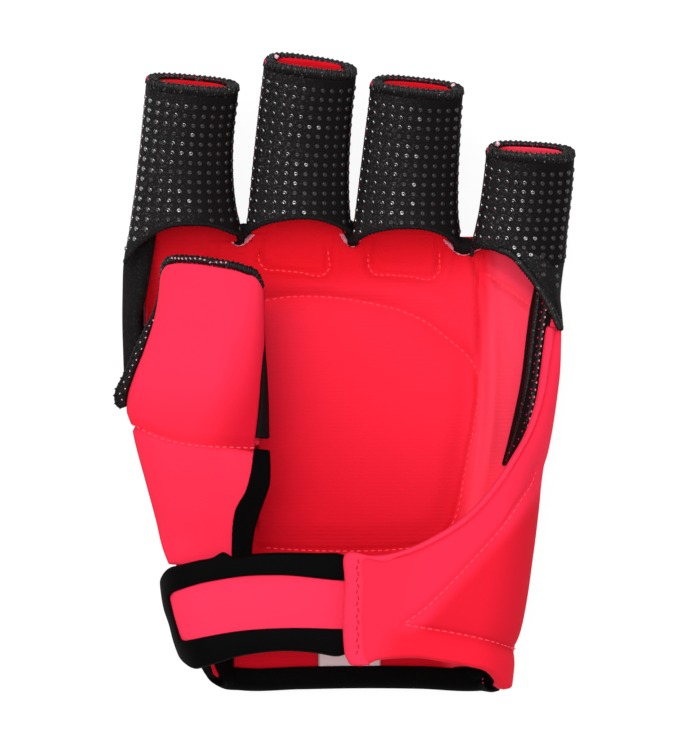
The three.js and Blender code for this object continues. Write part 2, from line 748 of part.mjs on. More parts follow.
function thenarPoint(u, v) {
  const leftY = mix(thenarLeftStart, flexLeft.y - thenarFlexGap, v);
  const rightY = mix(thenarStart, flexRight.y - thenarFlexGap, v);
  const top = mix(thenarWristHeight, thumbTop, through(thenarTopShares, v));
  const foot = wallPoint(-1, leftY, wallStart + seamTurn, 0);
  const left = handLeft(leftY);
  const right = through(thenarRight, rightY);
  const drop = mix(sideReach * thenarEndDropShares[0], thumbDepth * thenarEndDropShares[1], v);
  const shoulder = mix(foot.z, top, thenarShoulderShare);
  const over = (share, height) => new THREE.Vector3(mix(left, right, share), mix(leftY, rightY, share),
    height);
  const spots = [
    foot,
    wallPoint(-1, leftY, wallStart / 2, 0),
    new THREE.Vector3(left, leftY, mix(foot.z, top, thenarFoldShare)),
    new THREE.Vector3(mix(left, foot.x, thenarShoulderSideShare), leftY, shoulder),
    over(thenarTurnShare, mix(shoulder, top, thenarShoulderShare)),
    ...thenarTopSpotShares.map(([share, fall]) => over(share, top - drop * fall)),
  ];
  const curve = new THREE.CatmullRomCurve3(spots, false, 'centripetal');
  const inside = clamp01(u);
  const point = curve.getPoint(inside);
  if (u !== inside) point.addScaledVector(curve.getTangent(inside), (u - inside) * curve.getLength());
  return point;
}

addPiece('thenar_panel', thicken(steps(14), steps(6), thenarPoint, thenarThickness), coral);

// Edge tape: folded round one side of a sheet. The path gives, for each step,
// spots from the edge inwards, as (u, v) of the sheet.
function edgeTape(place, path, thickness, wrap, tape) {
  const offset = ([u, v], depth, out) => {
    const here = place(u, v);
    const side = place(u + tiny, v).sub(place(u - tiny, v));
    const ahead = place(u, v + tiny).sub(place(u, v - tiny));
    const normal = side.cross(ahead).normalize();
    return here.add(out).addScaledVector(normal, -depth);
  };
  const still = new THREE.Vector3();
  const rows = path.map(([edge, ...inside]) => {
    const outward = place(...edge).sub(place(...inside[0])).normalize();
    const leg = (depth, reach) => [
      offset(edge, depth, outward.clone().multiplyScalar(reach)),
      ...inside.map((spot) => offset(spot, depth, still)),
    ];
    const low = -wrap;
    const high = thickness + wrap;
    return {
      inner: [...leg(low, wrap).reverse(), ...leg(high, wrap)],
      outer: [...leg(low - tape, wrap + tape).reverse(), ...leg(high + tape, wrap + tape)],
    };
  });
  return solidBetween(rows.map(({ inner }) => inner), rows.map(({ outer }) => outer));
}

// Where a tape of a given reach ends on a sheet, as a share of the sheet's width
const searchStepShare = 1 / 64;

function tapeInside(place, v, reach) {
  const edge = place(1, v);
  let share = 1;
  while (share > 0 && edge.distanceTo(place(share, v)) < reach) share -= searchStepShare;
  return share;
}

const thenarTapeShares = [0, 0.3, 0.65, 1];
const thenarTapePath = steps(7).map((v) => {
  const inside = tapeInside(thenarPoint, v, thenarTapeReach);
  return thenarTapeShares.map((share) => [mix(1, inside, share), v]);
});
addPiece('thenar_edge_binding', edgeTape(thenarPoint, thenarTapePath, thenarThickness, tapeSlack,
  tapeThickness), black);

// Over the fold: distance along the outer skin from the fold line gives how far
// in and how high the skin is. Below the fold it runs down the lower quarter.
function overFold(distance, rise) {
  const quarter = (Math.PI / 4) * (sideReach + rise);
  if (distance <= quarter) {
    const angle = (distance / quarter) * (Math.PI / 2);
    return { inward: sideReach * (1 - Math.cos(angle)), height: foldHeight + rise * Math.sin(angle) };
  }
  return { inward: sideReach + distance - quarter, height: foldHeight + rise };
}

// Skin length from the fold line to a point a given distance in
function skinLength(inward, rise) {
  const quarter = (Math.PI / 4) * (sideReach + rise);
  if (inward >= sideReach) return quarter + inward - sideReach;
  return (quarter * Math.acos(1 - inward / sideReach)) / (Math.PI / 2);
}

// Strap: from its fold line on the thumb side to its end under the flap
const strapTopPixels = [[160, 570], [185, 565], [215, 559], [255, 555], [320, 554], [384, 554]];
const strapLowPixels = [[160, 672], [187, 667], [200, 665], [235, 656], [280, 651], [343, 657], [384, 657]];
const strapHighEdge = strapTopPixels.map(([x, y]) => [column(x), row(y)]);
const strapLowEdge = strapLowPixels.map(([x, y]) => [column(x), row(y)]);
const strapPanelTop = strapTop - strapWrap;
const strapRise = strapPanelTop - foldHeight;
const strapEnd = column(drawing.strapEndColumn);
const strapFoldStart = column(strapFoldPixels[1][1]);
const strapSkin = skinLength(strapEnd - strapFoldStart - strapWrap, strapRise);

// u runs along the strap's skin from the fold line, v across it
function strapPoint(u, v) {
  const { inward, height } = overFold(u * strapSkin, strapRise);
  const run = inward / (strapEnd - strapFoldStart);
  const guess = strapFoldStart + inward;
  const low = through(strapLowEdge, guess) + strapWrap;
  const high = through(strapHighEdge, guess) - strapWrap;
  const y = mix(low, high, v);
  const fold = mix(strapFoldAt(y), strapFoldStart, clamp01(run));
  return new THREE.Vector3(fold + strapWrap + inward, y, height);
}

// Shares of the strap's skin and width: the cut corners, and the columns of its sections
const foldShare = strapWrap / strapSkin;
const cornerAlongShare = 0.035;
const cornerAcrossShare = 0.1;
const panelCornerShare = 0.13;
const besideCornerShare = 0.08;
const cornerEndShare = foldShare + cornerAlongShare;
const sectionShares = [0.125, 0.16, 0.2, 0.24, 0.28, 0.34, 0.5, 0.75, 1];
const strapColumns = [foldShare, cornerEndShare, besideCornerShare, ...sectionShares];

function strapPanelPoint(u, v) {
  const corner = panelCornerShare * clamp01(1 - (u - foldShare) / cornerAlongShare);
  return strapPoint(u, mix(corner, 1 - corner, v));
}

addPiece('strap_panel', thicken(strapColumns, steps(5), strapPanelPoint, strapThickness), coral);

// Tape round the strap's three open edges, in one length with turned corners
const tapeAcrossShare = 0.26;
const tapeLegShares = [0, 0.33, 0.67, 1];
const tapeInnerShare = foldShare + strapTapeReach / strapSkin;
const tapeLegs = (edge, inside) => tapeLegShares.map((share) => [
  mix(edge[0], inside[0], share), mix(edge[1], inside[1], share)]);
const turnedAlongShare = tapeInnerShare + cornerAlongShare / 2;
const turnedAcrossShare = tapeAcrossShare + cornerAcrossShare / 4;
const besideTurnShare = (turnedAlongShare + sectionShares[0]) / 2;
const lowerTapePath = [
  ...[...sectionShares].reverse().map((u) => tapeLegs([u, 0], [u, tapeAcrossShare])),
  tapeLegs([besideCornerShare, 0], [besideTurnShare, tapeAcrossShare]),
  tapeLegs([cornerEndShare, 0], [turnedAlongShare, tapeAcrossShare]),
  tapeLegs([foldShare, cornerAcrossShare], [tapeInnerShare, turnedAcrossShare]),
];
const upperTapePath = [...lowerTapePath].reverse().map((legs) => legs.map(([u, v]) => [u, 1 - v]));
const endLegs = tapeLegs([foldShare, 1 / 2], [tapeInnerShare, 1 / 2]);
const strapTapePath = [...lowerTapePath, endLegs, ...upperTapePath];
addPiece('strap_binding', edgeTape(strapPoint, strapTapePath, strapThickness, tapeSlack, tapeThickness),
  black);

// Flap: folds over from the little-finger side. Each row runs from the fold line
// to a point on the free edge, which curves down the palm and across the wrist.
const flapEdgePixels = [
  [348, 547], [375, 539], [408, 530], [445, 518], [480, 500], [510, 471], [530, 440], [546, 408],
  [553, 372], [556, 350], [582, 346], [610, 345], [636, 346], [662, 352],
];
const flapFoldPixels = [348, 366, 388, 412, 437, 463, 488, 512, 536, 560, 588, 618, 650, 686];
const flapRise = flapTop - foldHeight;
const flapLast = flapEdgePixels.length - 1;
const flapEdge = flapEdgePixels.map(([y, x], spot) => [spot / flapLast, column(x), row(y)]);
const flapFold = flapFoldPixels.map((y, spot) => [spot / flapLast, row(y)]);
const flapEdgeX = flapEdge.map(([share, x]) => [share, x]);
const flapEdgeY = flapEdge.map(([share, , y]) => [share, y]);

const flapLift = seamGap / 2;

// The flap's lower edge is bowed towards the palm, over the last part of v
const flapBow = drawing.flapBowPixels * alongScale;
const flapBowFromShare = 0.75;

// u runs over the fold to the free edge, v down the fold line
function flapPoint(u, v) {
  const foldY = through(flapFold, v);
  const start = handRight(foldY);
  const reach = start - through(flapEdgeX, v);
  const skin = skinLength(reach, flapRise);
  const { inward, height } = overFold(mix(flapLift, skin, u), flapRise);
  const share = inward / reach;
  const bow = flapBow * Math.sin(Math.PI * clamp01(share)) * ease(v, flapBowFromShare, 1);
  return new THREE.Vector3(start - inward, mix(foldY, through(flapEdgeY, v), share) + bow, height);
}

const flapColumnShares = [0, 0.08, 0.18, 0.3, 0.42, 0.56, 0.7, 0.85, 1];
const flapRows = flapFold.map(([share]) => share);
addPiece('flap_panel', thicken(flapColumnShares, flapRows, flapPoint, flapThickness), coral);

// Rolled edge along the flap's free edge
const flapTapePath = flapRows.slice(1).map((v) => [[1, v], [tapeInside(flapPoint, v, flapTapeReach), v]]);
addPiece('flap_edge_binding', edgeTape(flapPoint, flapTapePath, flapThickness, tapeSlack, tapeThickness),
  edgePink);

// Hook patch under the flap, on the strap's fleece
const hookRight = strapEnd - strapWrap;
const hookLeft = column(drawing.flapEndColumn) + flapTapeReach + hookClearance;
const hookPatchLength = hookRight - hookLeft;
const hookPatch = new THREE.BoxGeometry(hookPatchLength, hookPatchWidth, hookPatchThickness);
const flapUnderside = flapTop - flapThickness;
hookPatch.translate((hookLeft + hookRight) / 2, row(drawing.hookRow),
  flapUnderside - flapClearance - hookPatchThickness / 2);
addPiece('hook_patch', hookPatch, black);

// The origin is under the middle of the whole glove, on the ground
const bounds = new THREE.Box3().setFromObject(glove);
const middle = bounds.getCenter(new THREE.Vector3());
glove.position.set(-middle.x, -middle.y, -bounds.min.z);
glove.updateMatrixWorld(true);

const part = new THREE.Group();
part.add(glove);

export default part;
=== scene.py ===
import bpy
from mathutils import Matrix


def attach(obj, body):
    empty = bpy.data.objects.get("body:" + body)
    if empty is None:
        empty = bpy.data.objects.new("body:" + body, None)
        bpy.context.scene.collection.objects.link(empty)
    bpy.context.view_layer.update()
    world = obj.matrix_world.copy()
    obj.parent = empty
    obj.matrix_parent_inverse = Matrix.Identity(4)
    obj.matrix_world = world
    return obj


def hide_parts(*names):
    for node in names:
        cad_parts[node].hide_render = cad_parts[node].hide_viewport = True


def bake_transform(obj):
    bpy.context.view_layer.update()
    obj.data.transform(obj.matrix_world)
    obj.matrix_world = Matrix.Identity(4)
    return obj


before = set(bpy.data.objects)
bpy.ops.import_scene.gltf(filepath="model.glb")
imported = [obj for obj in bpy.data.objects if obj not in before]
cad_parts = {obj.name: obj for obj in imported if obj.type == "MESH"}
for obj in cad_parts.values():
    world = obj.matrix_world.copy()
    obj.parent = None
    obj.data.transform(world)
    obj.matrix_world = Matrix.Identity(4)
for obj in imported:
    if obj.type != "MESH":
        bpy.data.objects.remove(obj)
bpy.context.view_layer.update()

import math
import bpy
import numpy as np

# The view: the glove lies on its back on a white table and is seen from
# straight above, so columns and rows of the picture are a flat drawing of it.
PIXEL = 0.3
ORIGIN_COLUMN = 348.954
ORIGIN_ROW = 371.461
PICTURE_WIDTH, PICTURE_HEIGHT = 681, 750
CAMERA_HEIGHT = 3.0
FILM = 36.0


def across(column):
    """Millimetres from the origin along X of a column of the drawing."""
    return (np.asarray(column, float) - ORIGIN_COLUMN) * PIXEL


def along(row):
    """Millimetres from the origin along Y of a row of the drawing, which counts downwards."""
    return (ORIGIN_ROW - np.asarray(row, float)) * PIXEL


camera = bpy.data.objects.new("camera", bpy.data.cameras.new("camera"))
camera.data.lens = FILM * CAMERA_HEIGHT * 1000 / (PICTURE_HEIGHT * PIXEL)
camera.data.sensor_width = FILM
camera.data.clip_end = 20
camera.location = (across(PICTURE_WIDTH / 2) / 1000, along(PICTURE_HEIGHT / 2) / 1000, CAMERA_HEIGHT + 0.025)
bpy.context.scene.collection.objects.link(camera)
bpy.context.scene.camera = camera
bpy.context.scene.view_settings.view_transform = "Standard"


def lamp(name, place, size, power):
    """A square soft box at a place, turned to face the middle of the glove."""
    light = bpy.data.lights.new(name, "AREA")
    light.size = size
    light.energy = power
    made = bpy.data.objects.new(name, light)
    made.location = place
    length = math.dist(place, (0, 0, 0))
    made.rotation_euler = (0, math.acos(place[2] / length), math.atan2(place[1], place[0]))
    bpy.context.scene.collection.objects.link(made)


lamp("key_light", (-0.4, 0.5, 1.5), 1.4, 20)
lamp("fill_light", (0.7, -0.4, 1.5), 1.6, 7)


def wire(tree, kind, settings=None, **inputs):
    """One node, with each named input set to a value or joined to another node's socket."""
    node = tree.nodes.new(kind)
    for key, value in (settings or {}).items():
        setattr(node, key, value)
    for key, value in inputs.items():
        socket = node.inputs[int(key[2:])] if key[:2] == "at" else node.inputs[key.replace("_", " ")]
        if isinstance(value, bpy.types.NodeSocket):
            tree.links.new(value, socket)
        else:
            socket.default_value = value
    return node


WORLD_LIGHT, WORLD_SHINE = 0.52, 0.06
world = bpy.data.worlds.new("studio")
world.use_nodes = True
world.node_tree.nodes.clear()
rays = wire(world.node_tree, "ShaderNodeLightPath")
seen = wire(world.node_tree, "ShaderNodeMath", {"operation": "MAXIMUM"},
            at0=rays.outputs["Is Camera Ray"], at1=rays.outputs["Is Transmission Ray"])
shine = wire(world.node_tree, "ShaderNodeMix", Factor=rays.outputs["Is Glossy Ray"], A=WORLD_LIGHT, B=WORLD_SHINE)
level = wire(world.node_tree, "ShaderNodeMix", Factor=seen.outputs[0], A=shine.outputs[0], B=1.0)
sky = wire(world.node_tree, "ShaderNodeBackground", Color=(1, 1, 1, 1), Strength=level.outputs[0])
wire(world.node_tree, "ShaderNodeOutputWorld", Surface=sky.outputs[0])
bpy.context.scene.world = world

# The table is white to the camera, keeps a faint shadow and throws plain light back.
floor_mesh = bpy.data.meshes.new("floor")
floor_mesh.from_pydata([(-4, -4, -0.0004), (4, -4, -0.0004), (4, 4, -0.0004), (-4, 4, -0.0004)], [],
                       [(0, 1, 2, 3)])
floor = bpy.data.objects.new("floor", floor_mesh)
bpy.context.scene.collection.objects.link(floor)
paper = bpy.data.materials.new("white_paper")
paper.use_nodes = True
paper.node_tree.nodes.clear()
rays = wire(paper.node_tree, "ShaderNodeLightPath")
matt = wire(paper.node_tree, "ShaderNodeBsdfDiffuse", Color=(0.75, 0.75, 0.75, 1))
faint = wire(paper.node_tree, "ShaderNodeBsdfDiffuse", Color=(0.14, 0.14, 0.14, 1))
glow = wire(paper.node_tree, "ShaderNodeEmission", Color=(1, 1, 1, 1), Strength=0.91)
lit = wire(paper.node_tree, "ShaderNodeAddShader", at0=faint.outputs[0], at1=glow.outputs[0])
both = wire(paper.node_tree, "ShaderNodeMixShader", at0=rays.outputs["Is Camera Ray"], at1=matt.outputs[0],
            at2=lit.outputs[0])
wire(paper.node_tree, "ShaderNodeOutputMaterial", Surface=both.outputs[0])
floor_mesh.materials.append(paper)

# Back of the hand: three layers, a black knitted cover outside, a pale foam
# and a ribbed red lining, cut to the hand's outline and curved up at both sides.
FOLD_HEIGHT, ROOT_FOLD_HEIGHT = 21.0, 11.5
SIDE_REACH, ROOT_REACH = 12.0, 8.0
COVER_BOTTOM, COVER_THICKNESS = 5.3, 1.0
FOAM_INSET, FOAM_THICKNESS = 1.3, 3.5
LINING_INSET, LINING_THICKNESS = 5.1, 1.0
WALL_TURN = math.radians(-34)
HAND_LEFT = [(240, 129), (267, 126.8), (331, 126.1), (380, 127.6), (426, 133.3), (480, 147), (562, 170.8),
             (666, 192.4), (693, 201)]
HAND_RIGHT = [(240, 566.6), (263, 566), (300, 563), (344, 561), (370, 559.5), (398, 556), (425, 552),
              (480, 541.6),
              (548, 533), (620, 522), (650, 515), (668, 513), (693, 510)]
ROOT_EDGE = [(125, 241), (200, 239), (228, 237), (236, 236), (243, 236), (251, 236), (259, 235), (300, 233),
             (335, 234), (344, 235), (351.5, 236), (359, 236), (367, 236), (405, 236), (446, 238), (454, 240),
             (463, 243), (474, 246), (482, 249), (520, 256), (570, 257)]
WRIST_EDGE = [(190, 662), (200, 667), (210, 679), (222, 687), (240, 689.5), (300, 688.5), (360, 687.5),
              (420, 688), (480, 690), (498, 688),
              (507, 682), (515, 676)]


def smooth(table, at):
    """Smooth curve through a table of (key, value, ...): between two entries it is the cubic whose slope at each
    entry is that of the parabola through the entry and its neighbours. Beyond the ends it stays level."""
    table = np.asarray(table, float)
    return smooth_rows(table[:, 0], table[:, 1:], at)[..., 0] if table.shape[1] == 2 else \
        smooth_rows(table[:, 0], table[:, 1:], at)


def smooth_rows(keys, values, at):
    """The same curve for whole arrays of values, one array for each key."""
    slopes = np.gradient(values, keys, axis=0)
    at = np.clip(np.asarray(at, float), keys[0], keys[-1])
    spot = np.clip(np.searchsorted(keys, at) - 1, 0, len(keys) - 2)
    step = keys[spot + 1] - keys[spot]
    share = (at - keys[spot]) / step
    shape = share.shape + (1,) * (values.ndim - 1)
    share, step = share.reshape(shape), step.reshape(shape)
    square, cube = share ** 2, share ** 3
    return ((2 * cube - 3 * square + 1) * values[spot] + (cube - 2 * square + share) * step * slopes[spot]
            + (3 * square - 2 * cube) * values[spot + 1] + (cube - square) * step * slopes[spot + 1])


def ease(value, start, end):
    """Smooth step from 0 at start to 1 at end."""
    share = np.clip((np.asarray(value, float) - start) / (end - start), 0, 1)
    return share * share * (3 - 2 * share)


def mix(start, end, share):
    """Start and end mixed by a share from 0 to 1."""
    return start + (end - start) * share


def spread(count, gather=0.0):
    """Shares from 0 to 1, gathered towards both ends by a sine of the stated strength."""
    even = np.linspace(0, 1, count)
    return even - gather * np.sin(2 * np.pi * even) / (2 * np.pi)


def mesh_piece(name, points, faces, uv=None):
    """A piece from points in millimetres and faces of point numbers, smooth, and turned so that its faces point
    outwards: the signed volume, the sum of a dot (b cross c) over its triangles, is made positive."""
    points = np.asarray(points, float).reshape(-1, 3)
    faces = np.asarray(faces, int)
    corners = points[faces]
    volume = (corners[:, 0] * np.cross(corners[:, 1], corners[:, 2])).sum()
    if faces.shape[1] == 4:
        volume += (corners[:, 0] * np.cross(corners[:, 2], corners[:, 3])).sum()
    if volume < 0:
        faces = faces[:, ::-1]
    mesh = bpy.data.meshes.new(name)
    mesh.vertices.add(len(points))
    mesh.vertices.foreach_set("co", (points / 1000).astype(np.float32).ravel())
    mesh.loops.add(faces.size)
    mesh.loops.foreach_set("vertex_index", faces.astype(np.int32).ravel())
    mesh.polygons.add(len(faces))
    mesh.polygons.foreach_set("loop_start", np.arange(0, faces.size, faces.shape[1], dtype=np.int32))
    mesh.polygons.foreach_set("use_smooth", np.ones(len(faces), bool))
    if uv is not None:
        layer = mesh.uv_layers.new(name="cloth")
        layer.data.foreach_set("uv", (np.asarray(uv, float).reshape(-1, 2)[faces.ravel()] / 1000)
                               .astype(np.float32).ravel())
    mesh.update(calc_edges=True)
    mesh.validate()
    made = bpy.data.objects.new(name, mesh)
    bpy.context.scene.collection.objects.link(made)
    return made


def grid_faces(wide, long, wrap=False):
    """Four-sided faces of a grid numbered along its second side, closed on its first side if wrap is set."""
    i = np.arange(wide if wrap else wide - 1)[:, None]
    j = np.arange(long - 1)[None, :]
    here, there = i * long + j, (i + 1) % wide * long + j
    return np.stack([here, there, there + 1, here + 1], -1).reshape(-1, 4)


def normals(grid, wrap=False):
    """Unit normals of a grid of points, from the cross product of its two directions."""
    first = (np.roll(grid, -1, 0) - np.roll(grid, 1, 0)) if wrap else np.gradient(grid, axis=0)
    second = np.gradient(grid, axis=1)
    normal = np.cross(first, second)
    return normal / np.maximum(np.linalg.norm(normal, axis=-1, keepdims=True), 1e-9)


def outward_normals(grid):
    """Normals of a grid of a top skin, turned so that they point away from the hand."""
    turned = normals(grid)
    return turned * np.sign(turned[..., 2].mean())


def run_length(grid, axis):
    """Distance along one side of a grid from its start."""
    steps = np.linalg.norm(np.diff(grid, axis=axis), axis=-1)
    pad = [(0, 0), (0, 0)]
    pad[axis] = (1, 0)
    return np.cumsum(np.pad(steps, pad), axis)


def panel(name, middle, thickness, edge=None, lift=0.0, sink=0.0):
    """A sheet with rounded edges round a grid of points through its middle. Each point is moved half the thickness
    both ways along the normal, times the height of a quarter circle of the edge's radius at its distance from the
    nearest side. Lift and sink move the two skins further out, in the same way."""
    wide, long = middle.shape[:2]
    edge = np.max(thickness) / 2 if edge is None else edge
    a, b = run_length(middle, 0), run_length(middle, 1)
    near = np.minimum(np.minimum(a, a[-1:] - a), np.minimum(b, b[:, -1:] - b))
    round_off = np.sqrt(np.clip(1 - (1 - np.clip(near / edge, 0, 1)) ** 2, 0, 1))
    half = thickness / 2 * round_off
    out = normals(middle)
    if out[..., 2].mean() < 0:
        out = -out
    top = middle + out * (half + lift * round_off)[..., None]
    low = middle - out * (half + sink * round_off)[..., None]
    inner = np.zeros((wide, long), bool)
    inner[1:-1, 1:-1] = True
    numbers = np.arange(wide * long).reshape(wide, long)
    under = numbers.copy()
    under[inner] = wide * long + np.arange(inner.sum())
    faces = grid_faces(wide, long)
    low_faces = under.ravel()[faces][:, ::-1]
    uv = np.stack([a, b], -1)
    return mesh_piece(name, np.concatenate([top.reshape(-1, 3), low[inner]]), np.concatenate([faces, low_faces]),
                      np.concatenate([uv.reshape(-1, 2), uv[inner]]))


def hand_rows(columns, share):
    """Y of a share of the way from the wrist's edge to the finger roots, at each column of the drawing."""
    return mix(along(smooth(WRIST_EDGE, columns)), along(smooth(ROOT_EDGE, columns)), share)


def hand_surface(turns, shares, inset, start=0.0, end=0.0):
    """Grid on the hand's back. The first side runs from the left wall over the floor to the right wall: below 0 and
    above 1 a turn is a share of the quarter circle that rises from the floor to the fold. The second side runs from
    the wrist to the roots. The inset is measured up from the outer skin."""
    turn = turns[:, None] * np.ones(len(shares))
    share = np.ones(len(turns))[:, None] * shares
    floor_share = np.clip(turn, 0, 1)
    column = mix(np.full_like(turn, 160.0), 530.0, floor_share)
    y = along(450) + 0 * turn
    for _ in range(4):
        row = ORIGIN_ROW - y / PIXEL
        left, right = smooth(HAND_LEFT, row), smooth(HAND_RIGHT, row)
        near_root = ease(row, 331, 263)
        reach = mix(SIDE_REACH, ROOT_REACH, near_root)
        rise = np.where(turn < 0, -turn, np.where(turn > 1, turn - 1, 0))
        angle = -np.pi / 2 + rise * np.pi / 2
        side = np.where(turn < 0.5, -1, 1)
        bend = (reach - inset) * np.cos(angle)
        floor_x = mix(across(left) + reach, across(right) - reach, floor_share)
        x = floor_x + side * bend
        column = x / PIXEL + ORIGIN_COLUMN
        y = mix(hand_rows(column, 0) + start, hand_rows(column, 1) - end, share)
    fold = mix(FOLD_HEIGHT, ROOT_FOLD_HEIGHT, near_root)
    z = fold + (fold - COVER_BOTTOM - inset) * np.sin(angle)
    return np.stack([x, y, z], -1)


def srgb(red, green, blue):
    """A colour written as screen numbers from 0 to 255, as the linear colour that a shader takes."""
    screen = np.array([red, green, blue]) / 255
    linear = np.where(screen <= 0.04045, screen / 12.92, ((screen + 0.055) / 1.055) ** 2.4)
    return (*linear, 1.0)


def cloth(name, colour, roughness=0.85, mottle=0.06, mottle_size=0.012, knit=0.00035, knit_depth=0.00005,
          ribs=None, rib_depth=0.0, sheen=0.0, specular=0.25, fibres=None, fibre_level=0.55, painted_light_and_shade=(), shade=None,
          ior=1.5):
    """A woven or knitted finish: noise mottles the colour over the stated size, finer noise gives the knit's bump,
    a sine of the stated pitch gives ribs across Y, and sparse fine noise shows
    lighter fibres, on the hem thread partly painted glints. Each entry of painted light and shade, from a first spot of
    the drawing to a second, turns the colour softly into a lighter or darker one where more or less light falls, and a
    painted shade darkens it across the cloth's own width."""
    made = bpy.data.materials.new(name)
    made.use_nodes = True
    tree = made.node_tree
    shader = tree.nodes["Principled BSDF"]
    spot = wire(tree, "ShaderNodeTexCoord").outputs["Object"]
    base = srgb(*colour)
    dark = tuple(c * (1 - mottle) for c in base[:3]) + (1,)
    light = tuple(min(1, c * (1 + mottle)) for c in base[:3]) + (1,)
    cloud = wire(tree, "ShaderNodeTexNoise", Vector=spot, Scale=1 / mottle_size, Detail=3.0)
    tint = wire(tree, "ShaderNodeMix", {"data_type": "RGBA"}, at0=cloud.outputs[0], at6=dark,
                at7=light).outputs[2]
    grain = wire(tree, "ShaderNodeTexNoise", Vector=spot, Scale=1 / knit, Detail=1.0)
    height = wire(tree, "ShaderNodeMath", {"operation": "MULTIPLY"}, at0=grain.outputs[0],
                  at1=knit_depth).outputs[0]
    # Painted light and shade: each entry turns the colour lighter or darker over part of the drawing.
    for first, second, other in painted_light_and_shade:
        start = np.array([across(first[0]), along(first[1])]) / 1000
        step = np.array([across(second[0]), along(second[1])]) / 1000 - start
        step /= (step ** 2).sum()
        run = wire(tree, "ShaderNodeVectorMath", {"operation": "DOT_PRODUCT"}, at0=spot, at1=(*step, 0.0))
        part = wire(tree, "ShaderNodeMapRange", {"interpolation_type": "SMOOTHSTEP"}, at0=run.outputs["Value"],
                    at1=float(start @ step), at2=float(start @ step) + 1)
        tint = wire(tree, "ShaderNodeMix", {"data_type": "RGBA"}, at0=part.outputs[0], at6=tint,
                    at7=srgb(*other)).outputs[2]
    if fibres:
        sparse = wire(tree, "ShaderNodeTexNoise", Vector=spot, Scale=1 / (knit * 1.4), Detail=2.0)
        picked = wire(tree, "ShaderNodeMapRange", at0=sparse.outputs[0], at1=fibre_level, at2=fibre_level + 0.16)
        tint = wire(tree, "ShaderNodeMix", {"data_type": "RGBA"}, at0=picked.outputs[0], at6=tint,
                    at7=srgb(*fibres)).outputs[2]
    # Painted shade across the cloth's width, read from its own UV map.
    if shade:
        width = wire(tree, "ShaderNodeSeparateXYZ",
                     at0=wire(tree, "ShaderNodeUVMap", {"uv_map": "cloth"}).outputs[0])
        part = wire(tree, "ShaderNodeMapRange", {"interpolation_type": "SMOOTHSTEP"}, at0=width.outputs[0],
                    at1=shade[0], at2=shade[1])
        tint = wire(tree, "ShaderNodeMix", {"data_type": "RGBA"}, at0=part.outputs[0], at6=srgb(*shade[2]),
                    at7=tint).outputs[2]
    if ribs:
        parts = wire(tree, "ShaderNodeSeparateXYZ", at0=spot)
        phase = wire(tree, "ShaderNodeMath", {"operation": "MULTIPLY"}, at0=parts.outputs[1],
                     at1=2 * math.pi / ribs)
        wave = wire(tree, "ShaderNodeMath", {"operation": "SINE"}, at0=phase.outputs[0])
        rib = wire(tree, "ShaderNodeMath", {"operation": "MULTIPLY"}, at0=wave.outputs[0], at1=rib_depth)
        height = wire(tree, "ShaderNodeMath", {"operation": "ADD"}, at0=height, at1=rib.outputs[0]).outputs[0]
    bump = wire(tree, "ShaderNodeBump", Height=height, Distance=1.0, Strength=1.0)
    tree.links.new(tint, shader.inputs["Base Color"])
    tree.links.new(bump.outputs[0], shader.inputs["Normal"])
    shader.inputs["Roughness"].default_value = roughness
    shader.inputs["Specular IOR Level"].default_value = specular
    shader.inputs["IOR"].default_value = ior
    shader.inputs["Sheen Weight"].default_value = sheen
    shader.inputs["Sheen Roughness"].default_value = 0.5
    return made


def dress(piece, finish, body, slot, *nodes):
    """Gives a piece its finish and its body, and hides the CAD nodes that it stands for. The slot is not used."""
    piece.data.materials.append(finish)
    if body:
        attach(piece, body)
    if nodes:
        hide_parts(*nodes)
    return piece


black_knit = cloth("black_knit", (30, 28, 30), 0.8, 0.15, 0.008, 0.0004, 0.00008, fibres=(62, 60, 62))
cover = panel("back_cover_cloth", hand_surface(spread(120) * 2.24 - 0.62, spread(110), COVER_THICKNESS / 2, 1.5,
                                               0.5),
              COVER_THICKNESS, 0.5)
dress(cover, black_knit, "hand_back", "black_stretch", "back_cover")
pale_foam = cloth("pale_foam", (230, 150, 172), 1.0, 0.05, 0.004, 0.0007, 0.0002)
foam = panel("back_foam_layer", hand_surface(spread(120, 0.5) * 1.96 - 0.48, spread(110, 0.3),
                                             FOAM_INSET + FOAM_THICKNESS / 2, 1.5, 0.0), FOAM_THICKNESS, 0.9)
dress(foam, pale_foam, "hand_back", "coral_spacer", "back_foam")

# Ribbed lining of the palm side: a red stretch cloth quilted to the foam. Rows
# of stitching draw it down round the centre pad and round each knuckle pad.
PAD_LINE = [(256, 301), (265, 300), (290, 296.5), (330, 297), (370, 303), (400, 310), (425, 321), (450, 340),
            (470, 358), (479, 376), (479, 396), (474, 430), (466, 470), (455, 520), (445, 538), (430, 545),
            (400, 550), (350, 552), (300, 551), (258, 548)]
KNUCKLE_LINES = [
    [(212, 226), (213, 258), (214, 264), (200, 266), (170, 268)],
    [(258, 226), (258.5, 245), (259.5, 262), (264, 268), (280, 270), (300, 272), (323, 274.5), (328, 270),
     (328, 250),
     (328, 224)],
    [(368, 232), (368.5, 250), (369, 266), (373, 272.5), (390, 274.5), (410, 276), (433, 278), (438.5, 273),
     (440, 255),
     (441, 232)],
    [(483, 271), (492, 276.5), (505, 285.5), (518, 295), (532, 306)],
]
CREASE = [(478, 252), (481, 280), (483, 320), (484, 360), (483, 400), (481, 430), (477, 465), (470, 505),
          (462, 548)]
SIDE_RIDGE = [(464, 262), (462, 290), (465, 330), (472, 352)]
SOFT_FOLD = [(232, 270), (250, 285), (300, 288), (360, 290), (410, 293), (455, 303)]


def from_line(x, y, line):
    """Distance in millimetres from each point to the nearest leg of a line of drawing columns and rows."""
    line = np.asarray(line, float)
    spots = np.stack([across(line[:, 0]), along(line[:, 1])], -1)
    here = np.stack([x, y], -1)[..., None, :]
    start, step = spots[:-1], np.diff(spots, axis=0)
    share = np.clip(((here - start) * step).sum(-1) / (step ** 2).sum(-1), 0, 1)
    return np.linalg.norm(here - start - step * share[..., None], axis=-1).min(-1)


